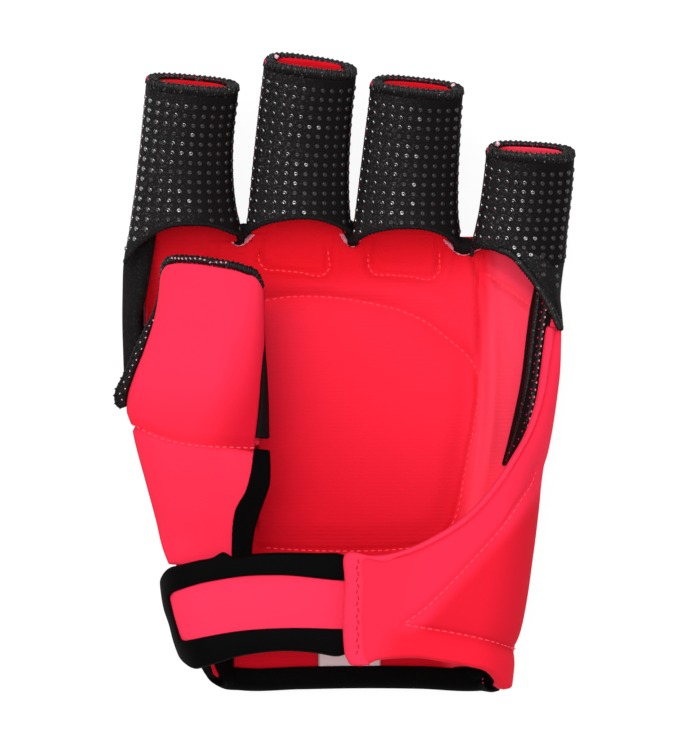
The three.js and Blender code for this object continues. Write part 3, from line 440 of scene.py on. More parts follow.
def inside_line(x, y, line):
    """True inside a closed line: a ray to the right of the point crosses the line an odd number of times."""
    line = np.asarray(line, float)
    px, py = across(line[:, 0]), along(line[:, 1])
    qx, qy = np.roll(px, -1), np.roll(py, -1)
    x, y = x[..., None], y[..., None]
    crosses = (py > y) != (qy > y)
    with np.errstate(divide="ignore", invalid="ignore"):
        edge = px + (y - py) / (qy - py) * (qx - px)
    return (crosses & (x < edge)).sum(-1) % 2 == 1


def even_line(line, pitch):
    """A smooth line through drawing points, read at even steps of the stated length, in millimetres."""
    line = np.asarray(line, float)
    spots = np.stack([across(line[:, 0]), along(line[:, 1])], -1)
    keys = np.concatenate([[0], np.cumsum(np.linalg.norm(np.diff(spots, axis=0), axis=-1))])
    fine = smooth_rows(keys, spots, np.linspace(0, keys[-1], 600))
    run = np.concatenate([[0], np.cumsum(np.linalg.norm(np.diff(fine, axis=0), axis=-1))])
    at = np.linspace(0, run[-1], max(2, int(round(run[-1] / pitch)) + 1))
    return np.stack([np.interp(at, run, fine[:, 0]), np.interp(at, run, fine[:, 1])], -1)


def lining_lift(x, y):
    """How far the stitching and the filling move the lining: grooves are bell curves round each sewn line, the centre
    pad and the knuckle pads swell between them, and the crease is a deeper groove beside a low ridge."""
    pad_gap = from_line(x, y, PAD_LINE)
    pad = np.where(inside_line(x, y, PAD_LINE), 1.0, 0.0)
    lift = 2.2 * pad * ease(pad_gap, 0, 9) - 0.9 * np.exp(-(pad_gap / 1.1) ** 2)
    lift += 1.1 * (1 - pad) * ease(pad_gap, 0, 4.5) * ease(pad_gap, 14, 5)
    for line in KNUCKLE_LINES:
        gap = from_line(x, y, line)
        lift += 0.5 * np.exp(-((gap - 2.8) / 1.5) ** 2) - 1.0 * np.exp(-(gap / 1.0) ** 2)
    crease = from_line(x, y, CREASE)
    fading = 0.3 + 0.7 * ease(y, along(520), along(400))
    lift += fading * (0.9 * np.exp(-((crease - 3.2) / 1.7) ** 2) - 1.6 * np.exp(-(crease / 1.3) ** 2))
    lift += 0.8 * np.exp(-(from_line(x, y, SOFT_FOLD) / 2.4) ** 2)
    lift += 0.5 * np.exp(-(from_line(x, y, SIDE_RIDGE) / 1.4) ** 2)
    return lift


# Painted light and shade: the lining turns lighter over the centre pad towards its upper right and over the band right
# of the crease, which face the light, and darker towards the finger roots, in the stalls' shade.
LINING_PAINTED_SHADING = [((270, 520), (400, 330), (244, 38, 62)), ((337, 312), (330, 262), (226, 20, 36)),
                ((474, 350), (492, 352), (254, 62, 88))]
red_lining = cloth("red_lining", (216, 18, 38), 0.9, 0.05, 0.01, 0.0004, 0.00004, ribs=0.0012, rib_depth=0.00002,
                   specular=0.06, painted_light_and_shade=LINING_PAINTED_SHADING)
middle = hand_surface(np.concatenate([np.linspace(-0.8, 0, 30, False), np.linspace(0, 1, 190, False),
                                      np.linspace(1, 1.62, 25)]), np.linspace(0, 1, 230),
                      LINING_INSET + LINING_THICKNESS / 2, 2.0, 1.0)
lining = panel("palm_lining", middle, LINING_THICKNESS, 0.5, lift=lining_lift(middle[..., 0], middle[..., 1]))
dress(lining, red_lining, "hand_back", "red_lining", "back_lining")


def capsule(length, radius, sides=6):
    """A short thread with rounded ends along X, as rings of points and their faces."""
    shares = np.array([-1, -0.82, -0.4, 0.4, 0.82, 1])
    wide = np.array([0.12, 0.75, 1, 1, 0.75, 0.12]) * radius
    turn = np.linspace(0, 2 * np.pi, sides, endpoint=False)
    rings = np.stack([np.broadcast_to(shares[:, None] * length / 2, (6, sides)), wide[:, None] * np.cos(turn),
                      wide[:, None] * np.sin(turn)], -1)
    return rings


def place_copies(shape, centres, forward, up):
    """One piece of many copies of a ring shape, each with its X along forward and its Z along up."""
    forward = forward / np.linalg.norm(forward, axis=-1, keepdims=True)
    side = np.cross(up, forward)
    side /= np.linalg.norm(side, axis=-1, keepdims=True)
    top = np.cross(forward, side)
    rings, sides = shape.shape[:2]
    points = (centres[:, None, None] + shape[None, ..., 0:1] * forward[:, None, None]
              + shape[None, ..., 1:2] * side[:, None, None] + shape[None, ..., 2:3] * top[:, None, None])
    one = grid_faces(sides, rings, wrap=True)
    order = np.arange(rings * sides).reshape(rings, sides).T.ravel()
    one = order[one]
    caps = np.concatenate([np.stack([np.full(sides - 2, 0), np.arange(1, sides - 1), np.arange(2, sides)], -1),
                           np.stack([np.full(sides - 2, 0), np.arange(2, sides), np.arange(1, sides - 1)], -1)
                           + (rings - 1) * sides])
    caps = np.concatenate([caps, caps[:, -1:]], 1)
    one = np.concatenate([one, caps[:, ::-1]])
    faces = (one[None] + (np.arange(len(centres)) * rings * sides)[:, None, None]).reshape(-1, 4)
    return points.reshape(-1, 3), faces


def sew(name, path, up, stitch, gap, radius, finish, body, slot):
    """A row of stitches on a path of points: one capsule of thread for each even step, half sunk in the cloth."""
    run = np.concatenate([[0], np.cumsum(np.linalg.norm(np.diff(path, axis=0), axis=-1))])
    at = np.arange(stitch, run[-1] - stitch, stitch + gap)
    spots = np.stack([np.interp(at, run, path[:, k]) for k in range(3)], -1)
    ahead = np.stack([np.interp(at + 0.2, run, path[:, k]) - np.interp(at - 0.2, run,
                                                                       path[:, k]) for k in range(3)],
                     -1)
    tops = np.stack([np.interp(at, run, up[:, k]) for k in range(3)], -1)
    points, faces = place_copies(capsule(stitch, radius), spots, ahead, tops)
    triangles = faces[:, 2] == faces[:, 3]
    quads = faces[~triangles]
    piece = mesh_piece(name, points, quads)
    return dress(piece, finish, body, slot)


red_thread = cloth("red_thread", (255, 74, 92), 0.6, 0.08, 0.002, 0.0003, 0.00003, specular=0.3)
FLOOR_LEVEL = COVER_BOTTOM + LINING_INSET + LINING_THICKNESS


def on_lining(line, pitch=0.5):
    """A path on the lining over a line of the drawing, and its upward directions."""
    flat = even_line(line, pitch)
    height = FLOOR_LEVEL + lining_lift(flat[:, 0], flat[:, 1])
    return np.column_stack([flat, height + 0.12]), np.tile([0.0, 0.0, 1.0], (len(flat), 1))


path, up = on_lining(PAD_LINE)
sew("centre_pad_stitches", path, up, 1.3, 0.8, 0.2, red_thread, "hand_back", "red_lining")
for name, line in zip(("index", "middle", "ring", "little"), KNUCKLE_LINES):
    path, up = on_lining(line)
    sew(f"{name}_knuckle_stitches", path, up, 1.1, 0.7, 0.18, red_thread, "hand_back", "red_lining")

# Wrist hem: a smooth black tape folded round the wrist edge of the three layers.
HEM_REACH, HEM_TAPE = 6.2, 0.9
top_inset = LINING_INSET + LINING_THICKNESS + 0.5
hem_run = np.linspace(0, 1, 34)
hem_y = smooth([(0, HEM_REACH), (0.2, 4.0), (0.38, 1.0), (0.46, -0.2), (0.54, -0.2), (0.62, 1.0), (0.8, 4.0),
                (1, HEM_REACH)], hem_run)
hem_inset = smooth([(0, top_inset + 0.3), (0.2, top_inset + 0.5), (0.38, top_inset - 0.2),
                    (0.46, top_inset - 1.8),
                    (0.54, 1.2), (0.62, 0.0), (0.8, -0.5), (1, -0.6)], hem_run)
turns = spread(110) * 2.24 - 0.62
hem = np.stack([hand_surface(turns, np.array([0.0, 1.0]), inset, start=y)[:, 0] for y,
                inset in zip(hem_y, hem_inset)])
black_tape = cloth("black_tape", (5, 4, 4), 0.75, 0.1, 0.01, 0.0005, 0.00003, specular=0.06)
hem_piece = panel("wrist_hem_tape", hem, HEM_TAPE, 0.45)
dress(hem_piece, black_tape, "hand_back", "black_stretch", "hem_binding")

HEM_CORNERS = {
    "thumb_side": [[(199, 655, 14), (203, 670, 13), (212, 683, 11), (232, 690.5, 8)],
                   [(212, 655, 17), (216, 666, 16.5), (222, 677, 15), (234, 683, 13)],
                   [(234, 657, 11.8), (233, 663, 11.8), (233, 669, 11.8), (236, 674, 11.8)]],
    "little_finger_side": [[(450, 669, 9.5), (480, 667, 15), (497, 671, 17), (504, 681, 16.6)],
                           [(450, 674, 10.5), (480, 676, 14.6), (494, 681, 16), (503, 686, 15.6)],
                           [(450, 689, 7), (480, 691.5, 9), (492, 692.8, 11), (500.5, 690.5, 13)]],
}


# Care label: a blank pale ribbon sewn flat on the lining beside the hem.
label_x = across(np.linspace(318, 381, 24))
label_y = along(np.linspace(652.5, 670, 10))
grid_x, grid_y = np.meshgrid(label_x, label_y, indexing="ij")
label = panel("care_label_ribbon", np.stack([grid_x, grid_y, FLOOR_LEVEL + 0.55 + 0.15 * np.sin(grid_x / 3)], -1),
              0.4, 0.2)
dress(label, cloth("pale_ribbon", (226, 210, 213), 0.6, 0.03, 0.004, 0.0003, 0.00002), "hand_back", "pale_label",
      "care_label")

# Finger stalls: tubes of black stretch cloth that curl up to their open tips.
# Each table gives the stall's left and right side at rows of the drawing. The rim
# sags at its left end and rises behind by the stated two lengths.
ROOT_SLOPE, TIP_SLOPE = math.radians(3), math.radians(24)
STALL_DEPTH, STALL_TIP_DEPTH = 13.0, 10.5
GRIP_THICKNESS = 1.2
SQUARENESS = 0.8
FOAM_BACK = 3.5
STALLS = {
    "index": {"root": 240, "length": 46.86, "tilt": 0.087, "sides": [
        (80, 147, 239.5), (100, 145.5, 236.8), (120, 143.5, 234.2), (145, 141, 232.3), (165, 138.5, 232),
        (190, 135.5, 233.3), (210, 132.5, 236), (225, 130.3, 239.5), (240, 127.6, 242), (250, 124.6, 243.5),
        (262, 122.8, 245)],
        "palm": [(0, 1.6), (0.08, 2.6), (0.25, 4.6), (0.42, 5.3), (0.6, 4.6), (0.8, 1.1), (0.9, -1.8),
                 (0.97, -5.2),
                 (1, -6.6)], "rim": (0.2, 0.0)},
    "middle": {"root": 232, "length": 49.8, "tilt": 0.118, "sides": [
        (55, 265.3, 357.5), (80, 263.5, 355), (100, 261, 352.5), (130, 257.5, 350), (170, 253, 348.3),
        (200, 250, 348.6), (215, 248.3, 349.6), (232, 245.5, 351.5)],
        "palm": [(0, 0.0), (0.08, 1.5), (0.25, 3.7), (0.45, 4.8), (0.65, 4.0), (0.85, 2.3), (0.95, 0.8),
                 (1, 0.2)],
        "rim": (0.8, 1.0)},
    "ring": {"root": 235, "length": 44.46, "tilt": 0.097, "sides": [
        (80, 371, 464), (105, 369.5, 461.3), (130, 366.5, 459.8), (160, 362.8, 458.3), (190, 359, 457.6),
        (215, 355.8, 458), (235, 353, 460.5)],
        "palm": [(0, -2.5), (0.08, -1.1), (0.3, 1.9), (0.5, 2.7), (0.7, 1.9), (0.88, 0.1), (0.96, -1.3),
                 (1, -1.9)],
        "rim": (1.3, 0.3)},
    "little": {"root": 257, "length": 31.38, "tilt": 0.056, "sides": [
        (145, 487, 575), (165, 486, 573.5), (185, 484, 572), (205, 481.2, 570), (225, 477.5, 567.8),
        (240, 473.5, 566.5), (257, 469, 565.5)],
        "palm": [(0, -2.0), (0.15, -2.6), (0.3, -1.2), (0.5, 1.2), (0.7, 2.6), (0.88, 3.2), (1, 3.2)],
        "mouth": 3.4, "rim": (1.2, 0.2)},
}


def stall_point(stall, distance, angle, inset):
    """Point on a stall. The middle line is an arc whose slope grows evenly from the root to the tip; across it lies
    an oval whose cosine and sine are raised to a power below one. The inset is measured in from the grip cloth, and
    the angle runs from the little finger's side over the palm side."""
    distance, angle, inset = np.broadcast_arrays(np.asarray(distance, float), angle, inset)
    turn = (TIP_SLOPE - ROOT_SLOPE) / stall["length"]
    slope = ROOT_SLOPE + turn * distance
    y = along(stall["root"]) + (np.sin(slope) - math.sin(ROOT_SLOPE)) / turn
    rise = (math.cos(ROOT_SLOPE) - np.cos(slope)) / turn
    sides = smooth(stall["sides"], ORIGIN_ROW - y / PIXEL)
    left, right = across(sides[..., 0]), across(sides[..., 1])
    deep = mix(STALL_DEPTH, STALL_TIP_DEPTH, distance / stall["length"]) / 2 + GRIP_THICKNESS - inset
    cosine, sine = np.cos(angle), np.sin(angle)
    deep = deep * np.sign(sine) * np.abs(sine) ** SQUARENESS
    wide = ((right - left) / 2 - inset) * np.sign(cosine) * np.abs(cosine) ** SQUARENESS
    y = y - deep * np.sin(slope) - wide * stall["tilt"] * distance / stall["length"]
    return np.stack([(left + right) / 2 + wide, y, FLOOR_LEVEL + STALL_DEPTH / 2 + rise + deep * np.cos(slope)],
                    -1)


def even_angles(count, start, end):
    """Angles from start to end that are evenly far apart on the oval's rim, for an oval about three times as wide as
    it is deep."""
    angle = np.linspace(start, end, 800)
    x = 14 * np.sign(np.cos(angle)) * np.abs(np.cos(angle)) ** SQUARENESS
    z = 6 * np.sign(np.sin(angle)) * np.abs(np.sin(angle)) ** SQUARENESS
    run = np.concatenate([[0], np.cumsum(np.hypot(np.diff(x), np.diff(z)))])
    return np.interp(np.linspace(0, run[-1], count), run, angle)


def tube(path, radius, sides=8, closed=False, flat=None, up=None):
    """A tube of an oval section along a path: its two half axes lie along up, which is turned square to the path,
    and across it."""
    step = np.roll(path, -1, 0) - np.roll(path, 1, 0) if closed else np.gradient(path, axis=0)
    ahead = step / np.maximum(np.linalg.norm(step, axis=-1, keepdims=True), 1e-9)
    up = np.broadcast_to(np.array([0.0, 0, 1.0]) if up is None else up, path.shape)
    side = np.cross(ahead, up)
    side /= np.maximum(np.linalg.norm(side, axis=-1, keepdims=True), 1e-9)
    top = np.cross(side, ahead)
    turn = np.linspace(0, 2 * np.pi, sides, endpoint=False)
    radius = np.broadcast_to(radius, len(path))[:, None, None]
    flat = radius if flat is None else np.broadcast_to(flat, len(path))[:, None, None]
    points = (path[:, None] + side[:, None] * np.cos(turn)[None, :, None] * radius
              + top[:, None] * np.sin(turn)[None, :, None] * flat)
    faces = grid_faces(len(path), sides + 1, wrap=closed)
    row, spot = faces // (sides + 1), faces % (sides + 1) % sides
    faces = row * sides + spot
    if not closed:
        points = np.concatenate([points.reshape(-1, 3), path[[0, -1]]])
        ring = np.arange(sides)
        start, end = len(points) - 2, len(points) - 1
        last = (len(path) - 1) * sides
        caps = np.concatenate([np.stack([np.full(sides, start), (ring + 1) % sides, ring, ring], -1),
                               np.stack([np.full(sides, end), last + ring, last + (ring + 1) % sides,
                                         last + (ring + 1) % sides], -1)])
        return points, faces, caps[:, :3]
    return points.reshape(-1, 3), faces, np.zeros((0, 3), int)


def tube_piece(name, path, radius, sides=8, closed=False, flat=None, up=None):
    """The tube as a piece of its own, with its end caps as triangles."""
    points, faces, caps = tube(path, radius, sides, closed, flat, up)
    halves = np.concatenate([faces[:, [0, 1, 2]], faces[:, [0, 2, 3]], caps])
    return mesh_piece(name, points, halves)


def sized(size, share):
    """A size along a path: one number, or a table of shares of its length with a size for each."""
    return np.full(len(share), float(size)) if np.isscalar(size) else np.interp(share, *np.transpose(size))


def overlock(name, path, up, wide, tall, pitch, thread, finish, body, slot, *nodes, closed=False, bead=0.86):
    """An overlocked edge: a soft bead along a path, wound round by two coils of thread. Each coil's angle grows by a
    full turn for each pitch of the path's length, one coil to the left and one to the right, and a slow wave makes
    the turns uneven."""
    if closed:
        path, up = np.concatenate([path, path[:1]]), np.concatenate([up, up[:1]])
    run = np.concatenate([[0], np.cumsum(np.linalg.norm(np.diff(path, axis=0), axis=-1))])
    turns = max(1, round(run[-1] / pitch))
    at = np.linspace(0, run[-1], turns * 8, endpoint=not closed)
    centre = np.stack([np.interp(at, run, path[:, k]) for k in range(3)], -1)
    top = np.stack([np.interp(at, run, up[:, k]) for k in range(3)], -1)
    ahead = (np.roll(centre, -1, 0) - np.roll(centre, 1, 0)) if closed else np.gradient(centre, axis=0)
    ahead /= np.linalg.norm(ahead, axis=-1, keepdims=True)
    side = np.cross(ahead, top)
    side /= np.linalg.norm(side, axis=-1, keepdims=True)
    top = np.cross(side, ahead)
    share = at / run[-1]
    half, high = sized(wide, share), sized(tall, share)
    points, faces, caps = tube(centre, half * bead, 12, closed, high * bead, top)
    parts, sheets, count = [points], [np.concatenate([faces[:, [0, 1, 2]], faces[:, [0, 2, 3]],
                                                      caps])], len(points)
    waves = 0.35 * np.sin(2 * np.pi * 7 * share) + 0.3 * np.sin(2 * np.pi * 19 * share)
    for way, thin in ((1, 1.0), (-1, 0.8)):
        phase = way * (2 * np.pi * turns * share + waves)
        out = side * np.cos(phase)[:, None] + top * np.sin(phase)[:, None]
        coil = (centre + side * ((half - 0.6 * thread) * np.cos(phase))[:, None]
                + top * ((high - 0.6 * thread) * np.sin(phase))[:, None])
        wound, faces, caps = tube(coil, thread * thin, 5, closed, None, out)
        parts.append(wound)
        sheets.append(np.concatenate([faces[:, [0, 1, 2]], faces[:, [0, 2, 3]], caps]) + count)
        count += len(wound)
    return dress(mesh_piece(name, np.concatenate(parts), np.concatenate(sheets)), finish, body, slot, *nodes)


# Painted shade: the dotted cloth turns darker over the first 9 to 24 mm across each piece, on the stalls their right
# side turned from the key lamp.
dotted_cloth = cloth("grip_cloth", (25, 23, 24), 0.8, 0.2, 0.003, 0.00042, 0.00014, specular=0.15,
                     fibres=(72, 68, 70), fibre_level=0.56, shade=(0.009, 0.024, (14, 8, 9)))
grip_rubber = cloth("grip_rubber", (20, 19, 20), 0.17, 0.05, 0.003, 0.0006, 0.00001, specular=1.0, ior=2.3)
# Dull rubber: a less glossy copy of the grip rubber, used as painted shade on the stall dots away from the key lamp.
dull_rubber = cloth("dull_rubber", (30, 26, 27), 0.42, 0.1, 0.003, 0.0006, 0.00002, specular=0.8)
# Painted highlights: the hem thread's strong mottle and sparse light fibres stand in for glints on its twisted turns,
# besides a few real light fibres.
hem_thread_painted_glints = cloth("hem_thread_painted_glints", (11, 9, 10), 0.5, 0.3, 0.0012, 0.0006, 0.00006, fibres=(136, 138, 136),
                   fibre_level=0.63, specular=0.5)
edge_thread = cloth("edge_thread", (10, 8, 9), 0.6, 0.2, 0.0012, 0.00025, 0.00005, fibres=(60, 58, 58),
                    fibre_level=0.6,
                    specular=0.25)
pink_lining = cloth("stall_lining", (242, 34, 66), 0.8, 0.06, 0.006, 0.0004, 0.00004, sheen=0.15, specular=0.15)
pink_thread = cloth("pink_thread", (232, 150, 168), 0.6, 0.2, 0.001, 0.0003, 0.00003)
pad_foam = cloth("moulded_foam", (32, 31, 33), 0.55, 0.1, 0.01, 0.0009, 0.00005, specular=0.4)
DOT_RADIUS, DOT_HEIGHT = 0.82, 0.42
DOT_ALONG = 3.06
DOT_PROFILE = np.array([[1.0, -0.35], [1.0, 0.0], [0.94, 0.45], [0.78, 0.85], [0.55, 1.0], [0.3, 0.82],
                        [0.04, 0.72]])


def dots(name, centres, out, dullness, body):
    """Printed rubber dots: the same low ring-shaped dome turned round each dot's outward direction. A dot whose
    dullness is over a half gets the dull rubber, a less glossy copy of the grip rubber."""
    sides = 12
    turn = np.linspace(0, 2 * np.pi, sides, endpoint=False)
    shape = np.stack([np.broadcast_to(DOT_PROFILE[:, 1:] * DOT_HEIGHT, (len(DOT_PROFILE), sides)),
                      DOT_PROFILE[:, :1] * DOT_RADIUS * np.cos(turn),
                      DOT_PROFILE[:, :1] * DOT_RADIUS * np.sin(turn)], -1)
    up = np.tile([0.0, 1.0, 0.05], (len(centres), 1))
    points, faces = place_copies(shape, centres, out, up)
    piece = mesh_piece(name, points, faces[faces[:, 2] != faces[:, 3]])
    dress(piece, grip_rubber, body, "black_dotted")
    piece.data.materials.append(dull_rubber)
    worn = np.repeat(dullness > 0.5, len(piece.data.polygons) // len(centres))
    piece.data.polygons.foreach_set("material_index", worn.astype(np.int32))
    return piece


def upward(path):
    """The upward direction for every point of a path."""
    return np.tile([0.0, 0.0, 1.0], (len(path), 1))


SEAM = math.radians(1.5)
RIM_WIDTHS = [(0, 1.6), (0.12, 1.95), (0.25, 2.0), (0.38, 1.95), (0.5, 1.6), (0.58, 1.2), (0.75, 1.1),
              (0.92, 1.2), (1, 1.6)]
RIM_HEIGHTS = [(0, 2.1), (0.05, 1.7), (0.11, 1.1), (0.39, 1.1), (0.45, 1.7), (0.5, 2.1), (0.55, 1.7), (0.61, 1.1),
               (0.89, 1.1), (0.95, 1.7), (1, 2.1)]
TIP_FOAM = {"middle": (-2.62, -2.42), "ring": (-0.62, -0.42), "little": (-2.65, -2.45)}
tip_foam = cloth("tip_foam", (250, 196, 212), 0.9, 0.1, 0.002, 0.0004, 0.0001, specular=0.1)
side_thread = cloth("side_thread", (112, 16, 44), 0.7, 0.5, 0.004, 0.0003, 0.00003)
rim_thread = cloth("rim_thread", (196, 32, 84), 0.6, 0.4, 0.001, 0.0003, 0.00003)
seam_thread = cloth("seam_thread", (246, 76, 100), 0.6, 0.08, 0.002, 0.0003, 0.00003)


def bend(piece, finger):
    """Bakes a cloth piece's placing into its mesh."""
    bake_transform(piece)
    return piece


for finger, stall in STALLS.items():
    body = f"{finger}_stall"
    length = stall["length"]

    # Palm side: grip cloth, cut in an arc over the palm and printed with dots
    angles = even_angles(70, SEAM, math.pi - SEAM)
    shares = np.linspace(0, 1, 70)
    start = smooth(stall["palm"], (1 - np.cos(angles)) / 2)
    distance = start[:, None] + (length + 0.8 - start)[:, None] * shares
    grip = panel(f"{finger}_grip_cloth", stall_point(stall, distance, angles[:, None], GRIP_THICKNESS / 2),
                 GRIP_THICKNESS, 0.6)
    bend(dress(grip, dotted_cloth, None, "black_dotted", f"{finger}_grip_panel"), finger)
    columns = even_angles(12, SEAM * 5, math.pi - SEAM * 5)
    rows = np.arange(length - 3.4, -6, -DOT_ALONG)
    spots_angle, spots_along = np.meshgrid(columns, rows, indexing="ij")
    first = smooth(stall["palm"], (1 - np.cos(spots_angle)) / 2)
    keep = spots_along > first + 1.6
    spots_angle, spots_along = spots_angle[keep], spots_along[keep]
    centres = stall_point(stall, spots_along, spots_angle, 0.02)
    out = centres - stall_point(stall, spots_along, spots_angle, 0.5)
    # Painted shade: dots towards each stall's right side, away from the key lamp, get the dull rubber as if they caught
    # less light; a slow and a fine wave vary it.
    across_share = (1 - np.cos(spots_angle)) / 2
    patch = np.sin(spots_along * 0.43 + 2 * spots_angle + stall["root"]) * 0.18
    dullness = 1.0 - ease(across_share, 0.25,
                          0.75) * 0.85 + patch + 0.2 * np.sin(spots_along * 5 + spots_angle * 31)
    bend(dots(f"{finger}_grip_dots", centres, out, dullness, None), finger)

    # Palm edge of the grip cloth, overlocked
    edge_angles = even_angles(90, SEAM * 2 if finger != "little" else math.pi * 0.56, math.pi - SEAM * 2)
    first = smooth(stall["palm"], (1 - np.cos(edge_angles)) / 2)
    path = stall_point(stall, first + 0.3, edge_angles, 0.4)
    out = stall_point(stall, first + 0.3, edge_angles, 0.0) - stall_point(stall, first + 0.3, edge_angles, 0.8)
    edge = overlock(f"{finger}_palm_edge", path, out, 0.85, 0.6, 1.2, 0.24, edge_thread, None, "black_stretch",
                    bead=0.8)
    bend(edge, finger)

    # Outer side: padded black panel, and the two moulded pads on it
    back_angles = even_angles(50, -SEAM, SEAM - math.pi)
    turn_share = np.linspace(0, 1, 50)[:, None]
    back_depth = mix(1.4, mix(FOAM_BACK, 1.4, ease(shares, 0.6, 1)), np.sin(np.pi * turn_share))
    late = stall.get("mouth", 0.0) * ease(turn_share, 0.7, 0.95)
    sag, behind = stall["rim"]
    rear_length = length + behind * np.sin(np.pi * turn_share)
    middle = stall_point(stall, late + (rear_length - late) * shares, back_angles[:, None],
                         GRIP_THICKNESS - back_depth / 2)
    dress(panel(f"{finger}_back_cloth", middle, back_depth, 0.7), black_knit, body, "black_stretch",
          f"{finger}_back_panel")
    pad_length = (length - 1.6 - 4) / 2
    for order, part in enumerate(("root_pad", "tip_pad")):
        pad_start = 2.3 + order * (pad_length + 1.6)
        pad_shares = spread(44, 0.6)
        across_pad = spread(44, 0.6)[:, None]
        pad_angles = even_angles(44, -math.pi * 0.2, -math.pi * 0.8)[:, None]
        pad_along = pad_start + pad_length * pad_shares
        skin = mix(1.4, mix(FOAM_BACK, 1.4, ease(pad_along / length, 0.6, 1)), np.sin(-pad_angles))
        deep = 3.6 * np.sin(np.pi * across_pad) ** 0.3 * np.sin(np.pi * pad_shares) ** 0.3
        groove = 0.7 * np.exp(-((np.abs(pad_shares - 0.5) - 0.18) / 0.05) ** 2) * np.sin(np.pi * across_pad)
        middle = stall_point(stall, pad_along, pad_angles, GRIP_THICKNESS - skin - 0.2 - deep / 2 + groove / 2)
        made = panel(f"{finger}_{part}_foam", middle, deep + 0.3 - groove, 0.8)
        dress(made, pad_foam, body, "moulded_foam", f"{finger}_{part}")

    # Lining inside the stall: the lower half runs on from the palm lining over
    # the knuckle, and the upper half backs the grip cloth
    low_angles = even_angles(80, -0.05, 0.05 - math.pi)
    run = np.concatenate([np.linspace(-9, 12, 70, False), np.linspace(12, length + 0.6 + behind, 60)])
    tube_low = stall_point(stall, np.maximum(run, 0.01), low_angles[:, None], GRIP_THICKNESS + 0.55)
    flat_y = tube_low[..., 1] + np.minimum(run, 0)
    over_back = 0.5 * ease(run, -2.5, 0.5) - 0.2
    lift = lining_lift(tube_low[..., 0], flat_y)
    lift = np.where(lift < 0, lift * ease(run, -2, -7), lift)
    flat_low = np.stack([tube_low[..., 0], flat_y, FLOOR_LEVEL + over_back + lift], -1)
    late = stall.get("mouth", 0.0) * ease(np.linspace(-1, 1, 80), 0.4, 0.9)[:, None]
    corner = tube_low[:, 70:71, 2] - tube_low[:, 70:71, 2].min()
    fold = ease((run - late) / (11.8 - 11 * ease(corner, 0.1, 0.6)), 0.0, 1.0)[..., None]
    inner = mix(flat_low, tube_low, fold)
    above = np.maximum(inner[..., 2], tube_low[..., 2] - 0.2)
    inner[..., 2] = mix(inner[..., 2], above, ease(run - late, -0.8, 0.1))
    made = panel(f"{finger}_inner_lining", inner, 0.5, 0.2)
    bend(dress(made, red_lining, None, "red_lining"), finger)
    top_angles = even_angles(50, 0.05, math.pi - 0.05)
    first = smooth(stall["palm"], (1 - np.cos(top_angles)) / 2) + 1.5
    run = first[:, None] + (length - 0.3 - first)[:, None] * np.linspace(0, 1, 50)
    made = panel(f"{finger}_grip_lining", stall_point(stall, run, top_angles[:, None], GRIP_THICKNESS + 0.4), 0.5,
                 0.25)
    bend(dress(made, pink_lining, None, "red_lining"), finger)

    # Overlocked hem round the open tip, thick in front and thin behind, and the
    # pink thread that shows in it and along the side seams
    rim = even_angles(240, 0, 2 * math.pi)[:-1]
    reach = length + 1.45 + 0.45 * np.sin(rim) - sag * np.exp(-((rim - math.pi) / 0.5) ** 2)
    reach = reach + behind * np.clip(-np.sin(rim), 0, 1) * (1 - np.cos(rim)) / 2
    path = stall_point(stall, reach, rim, 0.55 + 1.1 * np.abs(np.cos(rim)) ** 6)
    out = stall_point(stall, reach, rim, 0.0) - stall_point(stall, reach, rim, 2.0)
    overlock(f"{finger}_rim_overlock", path, out, RIM_WIDTHS, RIM_HEIGHTS, 1.5, 0.36, hem_thread_painted_glints, body,
             "black_stretch",
             f"{finger}_rim_hem", closed=True, bead=0.8)
    tips = np.array([math.pi - 0.35, math.pi - 0.1, math.pi + 0.1, math.pi + 0.35])
    corner = stall_point(stall, np.interp(tips, rim, reach) + 0.8, tips, 0.2) + np.array([0, 0, 0.4])
    sew(f"{finger}_rim_corner_thread", corner, upward(corner), 1.0, 0.5, 0.32, rim_thread, body, "pink_tape")
    if finger in TIP_FOAM:
        low, high = TIP_FOAM[finger]
        line = stall_point(stall, length + 1.9, np.linspace(low, high, 12), 1.7) + np.array([0, 0, 1.0])
        foam_end = tube_piece(f"{finger}_tip_foam", line, 0.75 * np.sin(np.linspace(0.5, 2.7, 12)), 8)
        dress(foam_end, tip_foam, body, "coral_spacer")
    specks = stall_point(stall, length + 1.2, even_angles(200, -0.3, 0.3 - math.pi),
                         0.55) + np.array([0, 0, 1.15])
    sew(f"{finger}_rim_specks", specks, upward(specks), 0.5, 1.3, 0.2, rim_thread, body, "pink_tape")
    for side, angle in (("outer", 0.1), ("inner", math.pi - 0.1)):
        cord = stall_point(stall, np.linspace(0.2, length + 0.4, 90), round(angle / math.pi) * math.pi, 0.62)
        dress(tube_piece(f"{finger}_{side}_welt", cord, 0.62, 10), edge_thread, body, "black_stretch")
        run = np.linspace(2, length - 1, 160)
        path = stall_point(stall, run, angle, 0.0)
        out = path - stall_point(stall, run, angle, 1.0)
        sew(f"{finger}_{side}_seam", path, out, 1.6, 0.7, 0.14, side_thread, body, "pink_tape")

# Side walls: neoprene and stretch cloth that rise from the layered back to the
# fold lines at both sides of the hand.
def wall_point(side, row, angle, inset, rise=12.0, shift=0.0):
    """Point on the side wall: a quarter oval below the fold line and one of the stated rise above it."""
    row, angle, inset = np.broadcast_arrays(np.asarray(row, float), angle, inset)
    edge = across(smooth(HAND_LEFT if side < 0 else HAND_RIGHT, row))
    near_root = ease(row, 331, 263)
    reach = mix(SIDE_REACH, ROOT_REACH, near_root)
    fold = mix(FOLD_HEIGHT, ROOT_FOLD_HEIGHT, near_root)
    tall = np.where(angle < 0, fold - COVER_BOTTOM, rise)
    x = edge - side * (reach - (reach - inset) * np.cos(angle)) + shift
    return np.stack([x, along(row), fold + (tall - inset) * np.sin(angle)], -1)


